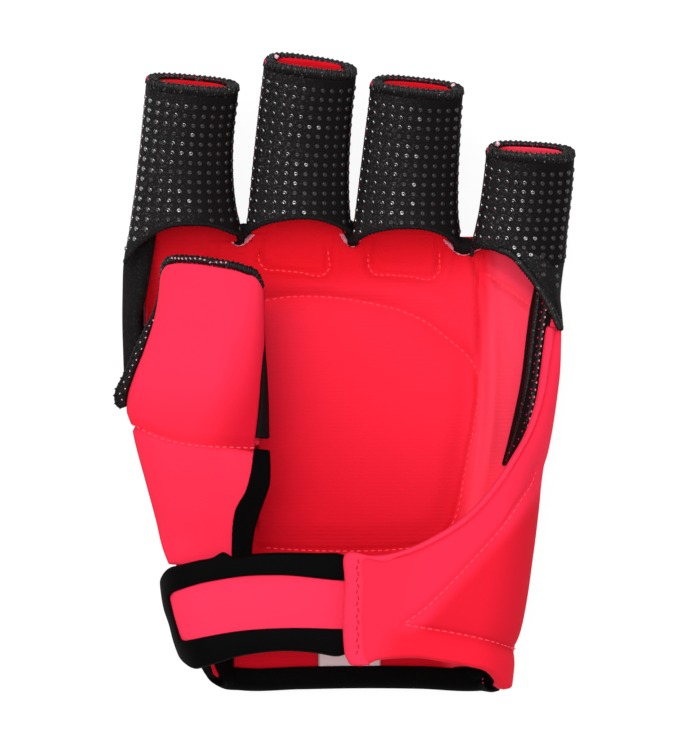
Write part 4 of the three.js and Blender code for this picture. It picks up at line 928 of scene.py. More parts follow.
# Painted light: the coral neoprene turns lighter from row 560 to row 585 of the drawing downwards, over the strap,
# which catches more light.
coral_neoprene = cloth("coral_neoprene", (254, 46, 76), 0.85, 0.05, 0.012, 0.0004, 0.00005, specular=0.06,
                       painted_light_and_shade=[((230, 560), (230, 585), (254, 53, 87))])
turns = np.linspace(WALL_TURN, -0.02, 30)[:, None]
wing_rows = np.linspace(690, 326, 116)
wing = panel("side_wing_cloth", wall_point(1, wing_rows, turns, 2.25), 4.3, 1.6)
dress(wing, coral_neoprene, "hand_back", "coral_neoprene", "side_wing")
wall_rows = np.linspace(666, 560, 50)
wrist_wall = panel("wrist_side_cloth", wall_point(-1, wall_rows, turns, 2.25, shift=1.0), 4.3, 1.6)
dress(wrist_wall, coral_neoprene, "hand_back", "coral_neoprene", "wrist_side_panel")


def net(spots, wide, long, gather=0.0):
    """A smooth grid through a net of control spots of (column, row, height): a smooth curve through the spots of
    each line, then through the lines."""
    spots = np.asarray(spots, float)
    points = np.stack([across(spots[..., 0]), along(spots[..., 1]), spots[..., 2]], -1)
    lines = smooth_rows(np.linspace(0, 1, len(points)), points, np.linspace(0, 1, wide))
    lines = smooth_rows(np.linspace(0, 1, points.shape[1]), np.swapaxes(lines, 0, 1), spread(long, gather))
    return np.swapaxes(lines, 0, 1)


# Gusset beside the index finger: plain black stretch cloth from the side wall
# over the fold to an edge that lies on the lining.
gusset_rows = np.array([233, 262, 290, 320, 350, 385, 408.0])
gusset_inner = smooth([(233, 156), (240, 154), (262, 151.5), (280, 149), (300, 144.5), (318, 140), (335, 144),
                       (350, 145),
                       (365, 139), (400, 129)], gusset_rows)
gusset_outer = smooth([(240, 129), (262, 124), (300, 123.3), (345, 124), (385, 126), (410, 130)], gusset_rows)
fold_here = mix(FOLD_HEIGHT, ROOT_FOLD_HEIGHT, ease(gusset_rows, 331, 263))
foot = wall_point(-1, gusset_rows, WALL_TURN + 0.05, 0.6)
spots = np.stack([
    np.stack([foot[:, 0] / PIXEL + ORIGIN_COLUMN, gusset_rows, foot[:, 2]], -1),
    np.stack([gusset_outer + 0.6, gusset_rows, fold_here], -1),
    np.stack([mix(gusset_outer, gusset_inner, 0.28), gusset_rows, fold_here + 3.4], -1),
    np.stack([mix(gusset_outer, gusset_inner, 0.7), gusset_rows, fold_here + 4.6], -1),
    np.stack([gusset_inner, gusset_rows, fold_here + 3.2], -1),
])
black_stretch = cloth("black_stretch", (20, 16, 17), 0.78, 0.15, 0.004, 0.0004, 0.00008, specular=0.12,
                      fibres=(40, 36, 37))
gusset = panel("index_gusset_cloth", net(spots, 40, 90), 1.2, 0.55)
dress(gusset, black_stretch, "hand_back", "black_stretch", "index_side_gusset")

# Skirt of the little finger's grip cloth, which runs down the hand's edge to the
# flap, and the overlocked strip of the same cloth between the lining and the flap.
skirt_rows = np.array([250, 262, 278, 297, 314, 331.0])
skirt_left = smooth([(250, 497), (262, 518), (272, 527), (290, 540.5), (303, 548), (317, 554.5), (331, 560)],
                    skirt_rows)
skirt_right = smooth([(250, 565), (271, 562), (297, 559.8), (314, 561), (331, 561.8)], skirt_rows)
skirt_fold = np.array([16.5, 16.0, 16.5, 18.0, 20.5, 22.5])
skirt_top = np.array([25.2, 25.2, 25.2, 25.4, 25.6, 25.6])
foot = wall_point(1, skirt_rows, WALL_TURN + 0.05, 0.6)
spots = np.stack([
    np.stack([foot[:, 0] / PIXEL + ORIGIN_COLUMN, skirt_rows, foot[:, 2]], -1),
    np.stack([skirt_right - 0.6, skirt_rows, skirt_fold], -1),
    np.stack([mix(skirt_right, skirt_left, 0.3), skirt_rows, mix(skirt_fold, skirt_top, 0.8)], -1),
    np.stack([mix(skirt_right, skirt_left, 0.7), skirt_rows, skirt_top], -1),
    np.stack([skirt_left, skirt_rows, skirt_top - 0.4], -1),
])
skirt_grid = net(spots, 50, 70)
skirt = panel("little_skirt_cloth", skirt_grid, 1.2, 0.55)
skirt.data.materials.append(dotted_cloth)
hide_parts("little_side_gusset")
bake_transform(skirt)
spot_rows, spot_columns = np.meshgrid(np.arange(9) * 10.2 + 255, np.arange(9) * 11.8 + 484)
inside_skirt = (spot_columns > smooth(list(zip(skirt_rows, skirt_left)), spot_rows) + 13) & (spot_columns < 556)
chosen = [np.argmin((skirt_grid[..., 0] - across(column)) ** 2 + (skirt_grid[..., 1] - along(row)) ** 2)
          for column, row in zip(spot_columns[inside_skirt], spot_rows[inside_skirt])]
skirt_out = outward_normals(skirt_grid).reshape(-1, 3)[chosen]
made = dots("little_skirt_dots", skirt_grid.reshape(-1, 3)[chosen] + 0.6 * skirt_out, skirt_out,
            mix(0.3, 0.9, np.arange(len(chosen)) % 5 / 4), None)
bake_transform(made)
strip_rows = np.array([286, 309, 335, 383, 435, 466.0])
strip_left = smooth([(286, 539), (309, 534.5), (335, 531), (354, 528.5), (383, 525), (407, 521), (435, 514),
                     (466, 506)],
                    strip_rows)
strip_right = smooth([(286, 553), (309, 553), (335, 551), (354, 548), (383, 543), (407, 538), (435, 527),
                      (466, 509)],
                     strip_rows)
spots = np.stack([
    np.stack([strip_left - 3, strip_rows, np.full(6, 14.2)], -1),
    np.stack([strip_left + 1, strip_rows, np.full(6, 16.4)], -1),
    np.stack([mix(strip_left, strip_right, 0.5), strip_rows, np.full(6, 19.0)], -1),
    np.stack([strip_right + 1, strip_rows, np.full(6, 21.0)], -1),
])
strip = panel("palm_edge_cloth", net(spots, 24, 80), 1.2, 0.55)
dress(strip, dotted_cloth, "hand_back", "black_dotted", "palm_edge_strip")


def up_path(line):
    """A smooth path through spots of (column, row, height), at steps of a quarter of a millimetre."""
    line = np.asarray(line, float)
    points = np.stack([across(line[:, 0]), along(line[:, 1]), line[:, 2]], -1)
    keys = np.concatenate([[0], np.cumsum(np.linalg.norm(np.diff(points, axis=0), axis=-1))])
    return smooth_rows(keys, points, np.linspace(0, keys[-1], max(8, int(keys[-1] / 0.25))))


path = up_path([(540, 293, 17.4), (538, 309, 17.4), (534.5, 335, 17.4), (532, 354, 17.4), (528.5, 383, 17.4),
                (524.5, 407, 17.4), (517.5, 435, 17.4), (509, 462, 17.4)])
overlock("palm_edge_overlock", path, upward(path), 1.1, 0.9, 1.2, 0.3, hem_thread_painted_glints, "hand_back", "black_stretch")
path = path + np.array([2.3, 0, 2.4]) * ease(path[:, 1:2], along(462), along(430))
overlock("palm_edge_second_overlock", path, upward(path), 1.1, 0.9, 1.1, 0.3, hem_thread_painted_glints, "hand_back",
         "black_stretch")
specks = path + np.array([0.2, 0, 1.15])
sew("palm_edge_specks", specks, upward(specks), 0.7, 1.5, 0.24, pink_thread, "hand_back", "pink_tape")
specks = path + np.array([-1.1, 0, 0.7])
sew("palm_edge_low_specks", specks, upward(specks), 0.5, 2.1, 0.22, rim_thread, "hand_back", "pink_tape")
path = up_path([(499, 249.5, 25.6), (508, 253, 25.8), (516, 258.5, 25.8), (524, 268, 25.8), (533, 279, 25.8),
                (541, 291, 25.8), (548, 303, 25.9), (555, 317, 26), (560.5, 329, 25.8)])
edge = overlock("little_skirt_edge", path, upward(path), 1.2, 0.8, 1.0, 0.27, hem_thread_painted_glints, None, "black_stretch")
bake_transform(edge)

for name, spots in HEM_CORNERS.items():
    dress(panel(f"hem_corner_{name}", net(spots, 30, 40), 1.4, 0.6), black_tape, "hand_back", "black_stretch")
specks = up_path([(483, 678, 17.0), (483.5, 684, 15.8), (487, 689, 13.8), (495, 690, 13.6)])
sew("hem_specks", specks, upward(specks), 0.6, 0.9, 0.22, rim_thread, "hand_back", "pink_tape")

# Webs between the finger roots: small black folds of the stall cloth
WEBS = {
    "index_middle": [[(229, 227), (243, 223), (257, 226)], [(232, 234), (241, 232), (251, 232)],
                     [(234, 239), (238.5, 241), (244, 238.5)], [(233, 242), (238.5, 244), (246, 241.5)]],
    "middle_ring": [[(340, 227), (351, 219.5), (362, 230)], [(344, 234), (351.5, 231), (359, 235)],
                    [(347.5, 240), (352.5, 242), (358, 239)], [(346, 243), (352.5, 244.5), (359, 242)]],
    "ring_little": [[(446, 236), (466, 238), (490, 242)], [(450, 241), (466, 244), (488, 246)],
                    [(454, 246), (463, 250.5), (472, 249)], [(453, 249.5), (464, 253.5), (475, 252.5)]],
}
CRESCENTS = {
    "index_middle": [(225.5, 230), (229, 236), (233, 240.5), (238.5, 243.3), (244, 241), (250, 236), (256, 230)],
    "middle_ring": [(338, 227), (342, 233.5), (347, 240.5), (352.5, 243.8), (358, 239.5), (362, 236)],
    "ring_little": [(444, 239), (449, 243), (453.5, 247), (458, 250.5), (464, 252.5), (470, 251), (476, 248.5),
                    (483, 247.5)],
}
brushed_foam = cloth("brushed_foam", (240, 128, 150), 1.0, 0.25, 0.0015, 0.0005, 0.0003, specular=0.05,
                     fibres=(250, 196, 208))
for name, spots in WEBS.items():
    rises = ((15.6, 13.2, 15.6), (15.8, 15.0, 15.8), (14.4, 14.2, 14.4), (10.8, 10.6, 10.8))
    web = panel(f"web_{name}_cloth", net([[(*spot, z) for spot, z in zip(line, zs)] for line,
                                          zs in zip(spots, rises)],
                                         30, 24), 1.4, 0.6)
    dress(web, black_stretch, "hand_back", "black_stretch", f"finger_web_{name}")
    height = [12.7] * 5 + [13.0, 14.2, 15.4] if name == "ring_little" else [12.7] * 8
    line = up_path([(*spot, z) for spot, z in zip(CRESCENTS[name], height)])
    run = np.linspace(0.04, 0.96, len(line))
    ends = np.sin(np.pi * run) ** 0.5 * (1 + 0.12 * np.sin(61 * run) + 0.1 * np.sin(143 * run))
    rim = tube_piece(f"web_{name}_foam_edge", line, 0.85 * ends, 10, flat=0.7 * ends)
    dress(rim, brushed_foam, "hand_back", "coral_spacer")

# Thumb stall: a red neoprene front and a black dotted rear, sewn along both sides
THUMB_CENTRE, THUMB_DEPTH = 32.5, 16.0
THUMB_LEFT = [(0, 131), (0.1, 127), (0.2, 128), (0.32, 133.5), (0.5, 144), (0.71, 154), (0.9, 158.8), (1, 160)]
THUMB_RIGHT = [(0, 270), (0.25, 269.3), (0.5, 267.4), (0.62, 266), (0.8, 265), (1, 264.3)]
FLEX_ROW = [(0, 425), (0.1, 432), (0.2, 439), (0.4, 446), (0.7, 449), (1, 450)]
RIM_ROW = [(0, 275), (0.04, 266.5), (0.1, 264), (0.25, 263.5), (0.55, 267), (0.85, 274), (0.96, 280), (1, 289)]
SEAM_TURN = [(0, 40), (0.15, 34), (0.32, 28), (0.45, 23), (0.56, 16), (0.66, 6), (0.74, 2), (1, 2)]


def thumb_point(share, angle, inset, beyond=0.0):
    """Point on the thumb stall: an oval across the palm at each share of the way from the curved flex line to the
    arched rim, measured in from the outside."""
    share, angle, inset = np.broadcast_arrays(np.asarray(share, float), angle, inset)
    left, right = across(smooth(THUMB_LEFT, share)), across(smooth(THUMB_RIGHT, share))
    wide = np.sign(np.cos(angle)) * np.abs(np.cos(angle)) ** SQUARENESS
    deep = np.sign(np.sin(angle)) * np.abs(np.sin(angle)) ** SQUARENESS
    side = (wide + 1) / 2
    start = along(smooth(FLEX_ROW, side))
    rear = mix(along(284), along(290), side)
    end = mix(rear, along(smooth(RIM_ROW, side)), ease(np.sin(angle), -0.1, 0.3))
    x = (left + right) / 2 + ((right - left) / 2 - inset) * wide
    return np.stack([x, mix(start, end, share) + beyond, THUMB_CENTRE + (THUMB_DEPTH / 2 - inset) * deep], -1)


# Painted shade: the thumb's front turns darker towards the flex line and towards its right side, where less light
# falls.
thumb_neoprene = cloth("thumb_neoprene", (254, 48, 80), 0.85, 0.05, 0.012, 0.0004, 0.00005, specular=0.06,
                       painted_light_and_shade=[((200, 365), (196, 440), (248, 40, 66)), ((212, 376), (262, 396), (208, 20, 44))])
shares = spread(120, 0.3)
turn_shares = even_angles(90, 0, math.pi) / math.pi
low_turn = np.radians(smooth(SEAM_TURN, shares))[None, :]
angles = low_turn + (math.pi - 0.03 - low_turn) * turn_shares[:, None]
thick = mix(1.6, 3.0, np.sin(math.pi * turn_shares) ** 0.5)[:, None] * np.ones(len(shares))
front_grid = thumb_point(shares[None, :], angles, thick / 2)
fold_line = np.exp(-((front_grid[..., 0] - across(240) - 0.12 * (front_grid[..., 1] - along(350))) / 3.0) ** 2)
fold_line = fold_line * ease(front_grid[..., 1], along(440), along(380)) * ease(front_grid[..., 1], along(315),
                                                                                along(370))
flex_dip = 1.3 * (1 - ease(shares, 0.0, 0.09))[None, :] * ease(front_grid[..., 0], across(128), across(150))
front = panel("thumb_front_cloth", front_grid, thick, 0.9, lift=-0.8 * fold_line - flex_dip)


def lift(piece):
    """Bakes a thumb piece's placing into its mesh."""
    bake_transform(piece)
    return piece


lift(dress(front, thumb_neoprene, None, "coral_neoprene", "thumb_front_panel"))
angles = low_turn - 0.03 + (0.03 - math.pi - low_turn + 0.03) * (even_angles(80, 0, math.pi) / math.pi)[:, None]
rear = panel("thumb_rear_cloth", thumb_point(mix(0.07, 1, shares)[None, :], angles, 0.6), 1.2, 0.5)
lift(dress(rear, dotted_cloth, None, "black_dotted", "thumb_rear_panel"))
inner = even_angles(90, 0.1, 2 * math.pi + 0.1)
lining_shares = np.linspace(0.03, 0.985, 60)
thumb_lining = panel("thumb_inner_lining", thumb_point(lining_shares[None, :], inner[:, None], 3.4), 0.5, 0.2)
lift(dress(thumb_lining, pink_lining, None, "red_lining"))
rim = even_angles(260, 0, 2 * math.pi)[:-1]
path = thumb_point(1.0, rim, 1.3, 1.2)
out = path - thumb_point(1.0, rim, 3.0, 1.2)
overlock("thumb_rim_overlock", path, out + np.array([0, 0.35, 0]), 1.35, 1.4, 1.5, 0.36, hem_thread_painted_glints,
         "thumb_stall",
         "black_stretch", "thumb_rim_hem", closed=True, bead=0.8)
specks = thumb_point(1.0, np.linspace(math.pi - 0.75, 0.5, 60), 0.0, 1.2) + np.array([0, 0, 0.2])
specks = specks + np.array([0, 1.0, 0]) * np.sin(np.arange(60) * 2.2)[:, None] * 0.5
sew("thumb_rim_specks", specks[:34], upward(specks[:34]), 0.7, 1.4, 0.22, pink_thread, "thumb_stall", "pink_tape")
path = up_path([(161.5, 273, 33.4), (159.3, 295, 33.2), (156.4, 309, 33.2), (151, 324, 33.4), (145, 338, 33.5),
                (138.8, 352, 33.5), (132.8, 367, 33.5), (127, 381, 33.5), (122.6, 392, 33.4), (121.6, 400, 33.2),
                (123.6, 407.5, 32.8)])


SIDE_SEAM_WIDTHS = [(0, 0.45), (0.15, 0.5), (0.26, 0.7), (0.37, 1.15), (0.48, 1.45), (0.58, 1.75), (0.7, 1.8),
                    (0.8, 2.1), (0.89, 2.45), (0.94, 2.4), (0.98, 2.0), (1, 1.2)]
seam = overlock("thumb_side_overlock", path, upward(path), SIDE_SEAM_WIDTHS,
                [(0, 0.7), (0.5, 1.1), (0.9, 1.4), (1, 0.6)],
                1.7, 0.3, edge_thread, None, "black_stretch", "thumb_side_seam", bead=0.86)
lift(seam)
specks = (path + np.array([0, 0, 1.2]))[len(path) // 3:]
specks = specks + np.array([1.0, 0, 0]) * np.sin(np.arange(len(specks)) * 0.37)[:, None] * 0.7
lift(sew("thumb_side_specks", specks[::2], upward(specks[::2]), 0.5, 1.7, 0.15, tip_foam, None, "pink_tape"))

# Thenar panel: neoprene from the hand's side wall over the ball of the thumb,
# sewn to the thumb stall along the flex line and taped along its inner edge.
THENAR_LEFT = [(420, 126), (440, 130), (480, 140.5), (520, 151.5), (550, 159), (565, 165), (580, 171)]
THENAR_RIGHT = [(440, 267), (455, 267.8), (470, 268), (485, 267), (500, 262), (515, 256.5), (530, 252),
                (550, 249), (570, 248)]
THENAR_TAPE = [(440, 257.5), (455, 253.5), (467, 252), (481, 249), (493, 245), (501, 240), (510, 235.5),
               (520, 233.5),
               (540, 232), (570, 232)]
THENAR_TOP = [(0, 29.4), (0.18, 30.0), (0.45, 35.0), (0.75, 39.4), (0.9, 40.4), (1, 40.5)]


def thenar_grid(count, inner, long=90):
    """The panel as a grid: each line is a smooth curve through nine spots, from the foot on the side wall over the
    shoulder and the flat of the palm to the inner edge, which turns down."""
    v = np.linspace(0, 1, long)
    left_row, right_row = mix(566, 424, v), mix(568, 449.5, v)
    top = smooth(THENAR_TOP, v)
    left = across(smooth(THENAR_LEFT, left_row))
    right = across(smooth(inner, right_row))
    edge = across(smooth(THENAR_RIGHT, right_row))
    foot = wall_point(-1, left_row, WALL_TURN + 0.05, 1.5)
    drop = mix(1.5, 5.3, v)
    spots = [foot]
    spots.append(np.stack([mix(foot[:, 0], left, 0.8) + 0.6, along(left_row), mix(foot[:, 2], top, 0.3)], -1))
    for share, height in ((0.0, mix(foot[:, 2], top, 0.5)), (0.05, mix(foot[:, 2], top, 0.76)),
                          (0.14, mix(foot[:, 2], top, 0.93)),
                          (0.34, top), (0.62, top - drop * 0.06), (0.86, top - drop * 0.35), (1.0, top - drop)):
        here = mix(left, edge, share) + (1.4 if share == 0 else 0)
        bow = np.interp(share, [0, 0.2, 0.4, 0.7, 1], [0, 1, 1, 0.6, 0]) * mix(0, -5, v) * PIXEL
        spots.append(np.stack([here, mix(along(left_row), along(right_row), share) + bow, height], -1))
    spots = np.stack(spots)
    keys = np.array([0, 0.1, 0.18, 0.24, 0.32, 0.5, 0.72, 0.9, 1])
    return smooth_rows(keys, spots, count)


thenar_middle = thenar_grid(np.concatenate([np.linspace(0, 0.3, 30, False), np.linspace(0.3, 1, 80)]),
                            THENAR_RIGHT)
thenar_middle = thenar_middle - normals(thenar_middle) * np.sign(normals(thenar_middle)[..., 2].mean()) * 1.5
flex_dip = 1.5 * ease(np.linspace(0, 1, thenar_middle.shape[1]), 0.94, 1.0)[None,
                                                                            :] * np.ones(thenar_middle.shape[:2])
thenar = panel("thenar_cloth", thenar_middle, 3.0, 1.0, lift=-flex_dip)
dress(thenar, coral_neoprene, "hand_back", "coral_neoprene", "thenar_panel")
fine = np.linspace(0.5, 1, 200)
dense = thenar_grid(fine, THENAR_RIGHT)
rows = ORIGIN_ROW - dense[..., 1] / PIXEL
reach = np.argmin(np.abs(dense[..., 0] - across(smooth(THENAR_TAPE, rows))), axis=0)
tape_shares = np.linspace(0, 1, 26)
tape = np.stack([dense[np.clip(np.round(mix(reach, 199, t)).astype(int), 0, 199),
                       np.arange(dense.shape[1])] for t in tape_shares])
tape = tape + np.array([0, 0, 0.25])
roll = np.linspace(0, math.pi, 14)[1:]
edge_point, before = tape[-1], tape[-4]
outward = edge_point - before
outward /= np.linalg.norm(outward, axis=-1, keepdims=True)
under = np.cross(outward, np.gradient(edge_point, axis=0))
under /= np.linalg.norm(under, axis=-1, keepdims=True)
under = np.where(under[:, 2:] > 0, -under, under)
turned = np.stack([edge_point + outward * (1.2 * math.sin(t)) + under * (1.7 * (1 - math.cos(t))) for t in roll])
back = np.stack([turned[-1] - outward * t for t in np.linspace(0.3, 5.0, 10)])
thenar_tape = panel("thenar_edge_tape", np.concatenate([tape, turned, back]), 0.7, 0.35)
dress(thenar_tape, black_tape, "hand_back", "black_stretch", "thenar_edge_binding")
path = np.array([thumb_point(0.012, a, 0.0) for a in even_angles(200, math.radians(40), math.pi - 0.15)])
lift(sew("flex_line_stitches", path + np.array([0, 0, 0.3]), upward(path), 1.3, 0.8, 0.2, seam_thread, None,
         "coral_neoprene"))

def over_fold(distance, rise):
    """How far in and how high the outer skin is, at a distance along it from the fold line: a quarter oval, then
    level."""
    quarter = math.pi / 4 * (SIDE_REACH + rise)
    angle = np.clip(distance / quarter, 0, 1) * math.pi / 2
    beyond = np.maximum(distance - quarter, 0)
    return SIDE_REACH * (1 - np.cos(angle)) + beyond, FOLD_HEIGHT + rise * np.sin(angle)


def skin_length(inward, rise):
    """The distance along the skin from the fold line to a point a given distance in."""
    quarter = math.pi / 4 * (SIDE_REACH + rise)
    curved = quarter * np.arccos(1 - np.clip(inward / SIDE_REACH, 0, 1)) / (math.pi / 2)
    return curved + np.maximum(inward - SIDE_REACH, 0)


# Wrist strap: a padded red band that folds over from the thumb side, bound with
# black tape on its three open edges, and runs under the flap.
STRAP_THICKNESS, STRAP_HEIGHT, STRAP_END = 3.2, 35.6, 384
STRAP_FOLD = [(560, 159), (575, 160), (590, 161.2), (610, 164.7), (625, 169.8), (638, 173), (652, 177.7),
              (668, 185)]
STRAP_TOP = [(160, 577), (166, 572), (175, 569.5), (200, 563.5), (215, 560.5), (225, 555), (232, 559.5),
             (255, 557),
             (320, 556.5), (342, 557.5), (352, 562), (384, 566)]
STRAP_LOW = [(186, 668), (200, 664), (218, 658), (235, 652.5), (255, 649), (280, 646.5), (320, 649), (338, 651.5),
             (352, 647), (384, 642)]
STRAP_TAPE_TOP = [(160, 598), (169, 593.5), (185, 587.5), (200, 583), (220, 579), (240, 576), (280, 574.5),
                  (345, 580),
                  (384, 580)]
STRAP_TAPE_LOW = [(160, 645), (182, 641), (200, 637), (240, 630), (290, 627), (343, 628), (384, 628)]


def strap_point(column, row, raise_by=0.0):
    """Point on the strap's top over a spot of the drawing: level, and a quarter oval near the fold line."""
    fold = smooth(STRAP_FOLD, row)
    inward = np.clip((column - fold) * PIXEL, 0.02, SIDE_REACH)
    rise = STRAP_HEIGHT - FOLD_HEIGHT
    height = FOLD_HEIGHT + rise * np.sqrt(np.clip(1 - (1 - inward / SIDE_REACH) ** 2, 0, 1))
    return np.stack([across(column), along(row), height + raise_by], -1)


def strap_grid(top, low, wide, long, start, end=STRAP_END):
    """The strap between two lines of the drawing: the first side runs over the fold and along it, the second across."""
    reach = np.concatenate([1 - np.cos(np.linspace(0.02, math.pi / 2, 40, False)), np.linspace(1, 5.6, wide)])
    v = np.linspace(0, 1, long)
    column = np.full((len(reach), long), float(start))
    row = np.zeros_like(column)
    for _ in range(5):
        row = mix(smooth(top, column), smooth(low, column), v[None, :])
        fold = smooth(STRAP_FOLD, row)
        near = fold + reach[:, None] * SIDE_REACH / PIXEL
        column = np.where(reach[:, None] <= 1, near,
                          mix(fold + SIDE_REACH / PIXEL, end, (reach[:, None] - 1) / 4.6))
    return strap_point(column, row)


strap_skin = strap_grid(STRAP_TOP, STRAP_LOW, 150, 60, 165)
strap_middle = strap_skin - outward_normals(strap_skin) * 1.4
puff = 0.55 * np.exp(-((np.linspace(0, 1, 60) - 0.5) / 0.24) ** 2) - 0.25
strap = panel("strap_cloth", strap_middle[2:, 3:-3], 2.2, 1.1,
              lift=np.broadcast_to(puff, strap_middle.shape[:2])[2:, 3:-3])
dress(strap, coral_neoprene, "strap", "coral_neoprene", "strap_panel")


# Crotch linings: a small tongue of the red lining under each web
for name, column, row in (("index_middle", 243, 242), ("middle_ring", 355, 242), ("ring_little", 467, 249)):
    width, depth = np.meshgrid(np.linspace(-14, 16, 24), np.linspace(12, -13, 24))
    tongue = np.stack([across(column + width), along(row + depth), 11.1 + 0.02 * depth - 0.002 * width ** 2], -1)
    dress(panel(f"crotch_{name}_lining", tongue, 0.8, 0.3), red_lining, "hand_back", "red_lining")

# Wrist gusset: a strip of black stretch cloth from the side wall's top to the strap's fold
gusset_rows = np.linspace(576, 660, 50)
wall_top = np.column_stack([across(smooth(HAND_LEFT, gusset_rows)) + 3.2, along(gusset_rows), np.full(50, 19.6)])
strap_foot = np.column_stack([across(smooth(STRAP_FOLD, gusset_rows)) + 1.1, along(gusset_rows),
                              np.full(50, 22.6)])
steps = np.linspace(0, 1, 20)[:, None, None]
wrist_gusset = panel("wrist_gusset_cloth",
                     mix(wall_top, strap_foot, steps) - np.array([0, 0, 1.4]) * np.sin(math.pi * steps),
                     1.0, 0.5)
wrist_gusset.data.materials.append(black_stretch)
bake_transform(wrist_gusset)


def bound_edge(name, edge, inside, thickness, finish, body, slot, *nodes):
    """Tape folded round an edge: over the top skin from the inside line of the drawing to the edge line, close together
    where the skin turns down, then round the edge and back below."""
    legs = 1 - np.cos(np.linspace(math.pi / 2, 0, 26))
    top = np.stack([strap_point(*mix(edge, inside, t).T, 0.3 * math.sin(math.pi * t) + 0.1) for t in legs])
    outward = top[-1] - top[-4]
    outward /= np.linalg.norm(outward, axis=-1, keepdims=True)
    under = np.cross(outward, np.gradient(top[-1], axis=0))
    under /= np.linalg.norm(under, axis=-1, keepdims=True)
    under *= -np.sign(under[len(under) // 8, 2])
    half = thickness / 2
    round_edge = np.stack([top[-1] + outward * (0.6 * half * math.sin(t)) + under * (half * (1 - math.cos(t)))
                           for t in np.linspace(0, math.pi, 14)[1:]])
    below = np.stack([round_edge[-1] - outward * t for t in np.linspace(0.6, 4, 8)])
    return dress(panel(name, np.concatenate([top, round_edge, below]), 0.8, 0.4), finish, body, slot, *nodes)


steps = np.linspace(0, 1, 150)
down_rows, inner_rows = np.linspace(579, 660, 60), np.linspace(597, 639, 60)
edge_line = np.concatenate([
    np.column_stack([mix(384.0, 166.0, steps), smooth(STRAP_TOP, mix(384.0, 166.0, steps))]),
    np.column_stack([smooth(STRAP_FOLD, down_rows) + 0.3, down_rows]),
    np.column_stack([mix(191.0, 384.0, steps), smooth(STRAP_LOW, mix(191.0, 384.0, steps))])])
inner_line = np.concatenate([
    np.column_stack([mix(384.0, 171.0, steps), smooth(STRAP_TAPE_TOP, mix(384.0, 171.0, steps))]),
    np.column_stack([np.interp(inner_rows, [593, 598, 641], [168.0, 169.5, 181.5]), inner_rows]),
    np.column_stack([mix(183.0, 384.0, steps), smooth(STRAP_TAPE_LOW, mix(183.0, 384.0, steps))])])


def eased(line, passes):
    """The line with its corners rounded: each point moved to the mean of its neighbours, a number of times."""
    line = line.copy()
    for _ in range(passes):
        line[1:-1] = (line[:-2] + line[2:]) / 4 + line[1:-1] / 2
    return line


bound_edge("strap_edge_tape", eased(edge_line, 5), eased(inner_line, 6), STRAP_THICKNESS + 0.4, black_tape,
           "strap",
           "black_stretch", "strap_binding")

# Flap: thick padded neoprene that folds over from the little-finger side, with a
# V of stitched grooves, and a rolled, brushed edge of lighter pink.
FLAP_HEIGHT, FLAP_THICKNESS = 42.0, 4.5
FLAP_EDGE = [(314, 552.5), (330, 549.5), (350, 546.5), (374, 543), (395, 539.5), (416, 533.5), (438, 524.5),
             (455, 514.5),
             (475, 502), (495, 487), (520, 462), (536, 437), (547, 415),
             (553.5, 396), (556, 380), (555.5, 366), (553, 358)]
FLAP_END = [(553, 350), (580, 348), (610, 346.5), (640, 347), (656, 349.5), (663, 354)]
FLAP_LOW = [(351, 663), (357, 664.5), (366, 663.5), (377, 659), (390, 657.5), (425, 657.5), (440, 660),
            (455, 662.5),
            (470, 665.5), (485, 669), (497, 676), (504, 684), (508, 690)]
FLAP_FOLD_ROWS = [(0, 320), (0.1, 355), (0.3, 432), (0.5, 520), (0.75, 610), (1, 689)]


def flap_edge_spot(v):
    """Column and row of the flap's free edge: down the palm's curve for the first part of v, then down its end."""
    curve = np.array([spot[::-1] for spot in FLAP_EDGE], float)
    end = np.array([spot[::-1] for spot in FLAP_END], float)
    line = np.concatenate([curve, end])
    keys = np.concatenate([[0], np.cumsum(np.linalg.norm(np.diff(line, axis=0), axis=-1))])
    return smooth_rows(keys / keys[-1], line, v)


flap_v = np.linspace(0, 1, 220)
edge_spots = eased(flap_edge_spot(flap_v), 3)
fold_rows = smooth(FLAP_FOLD_ROWS, flap_v)
fold_columns = smooth(HAND_RIGHT, fold_rows)
rise = mix(2.2, FLAP_HEIGHT - FOLD_HEIGHT, ease(flap_v, 0.0, 0.4))
reach_mm = (fold_columns - edge_spots[:, 0]) * PIXEL
flap_u = np.linspace(0.004, 1, 130)
distance = flap_u[:, None] * skin_length(reach_mm, rise)[None, :]
inward, height = over_fold(distance, rise)
share = inward / reach_mm[None, :]
low_bow = (smooth(FLAP_LOW, np.clip(fold_columns[-1] - inward[:, -1] / PIXEL, 351, 508))
           - mix(fold_rows[-1], edge_spots[-1, 1], share[:, -1]))
flap_column = fold_columns[None, :] - inward / PIXEL
flap_row = mix(fold_rows[None, :], edge_spots[None, :, 1], share) + low_bow[:, None] * ease(flap_v, 0.62,
                                                                                            1.0)[None, :] ** 2
flap_skin = np.stack([across(flap_column), along(flap_row), height], -1)
V_LINES = [[(403, 623), (420, 611), (445, 588), (475, 556), (505, 522), (522, 497), (530, 485), (537, 466)],
           [(403, 623), (425, 627), (450, 631), (470, 635), (490, 640), (505, 645), (516, 649.5)]]


def near_lines(x, y, lines):
    """The smallest distance from each point to the lines."""
    return np.min([from_line(x, y, line) for line in lines], axis=0)


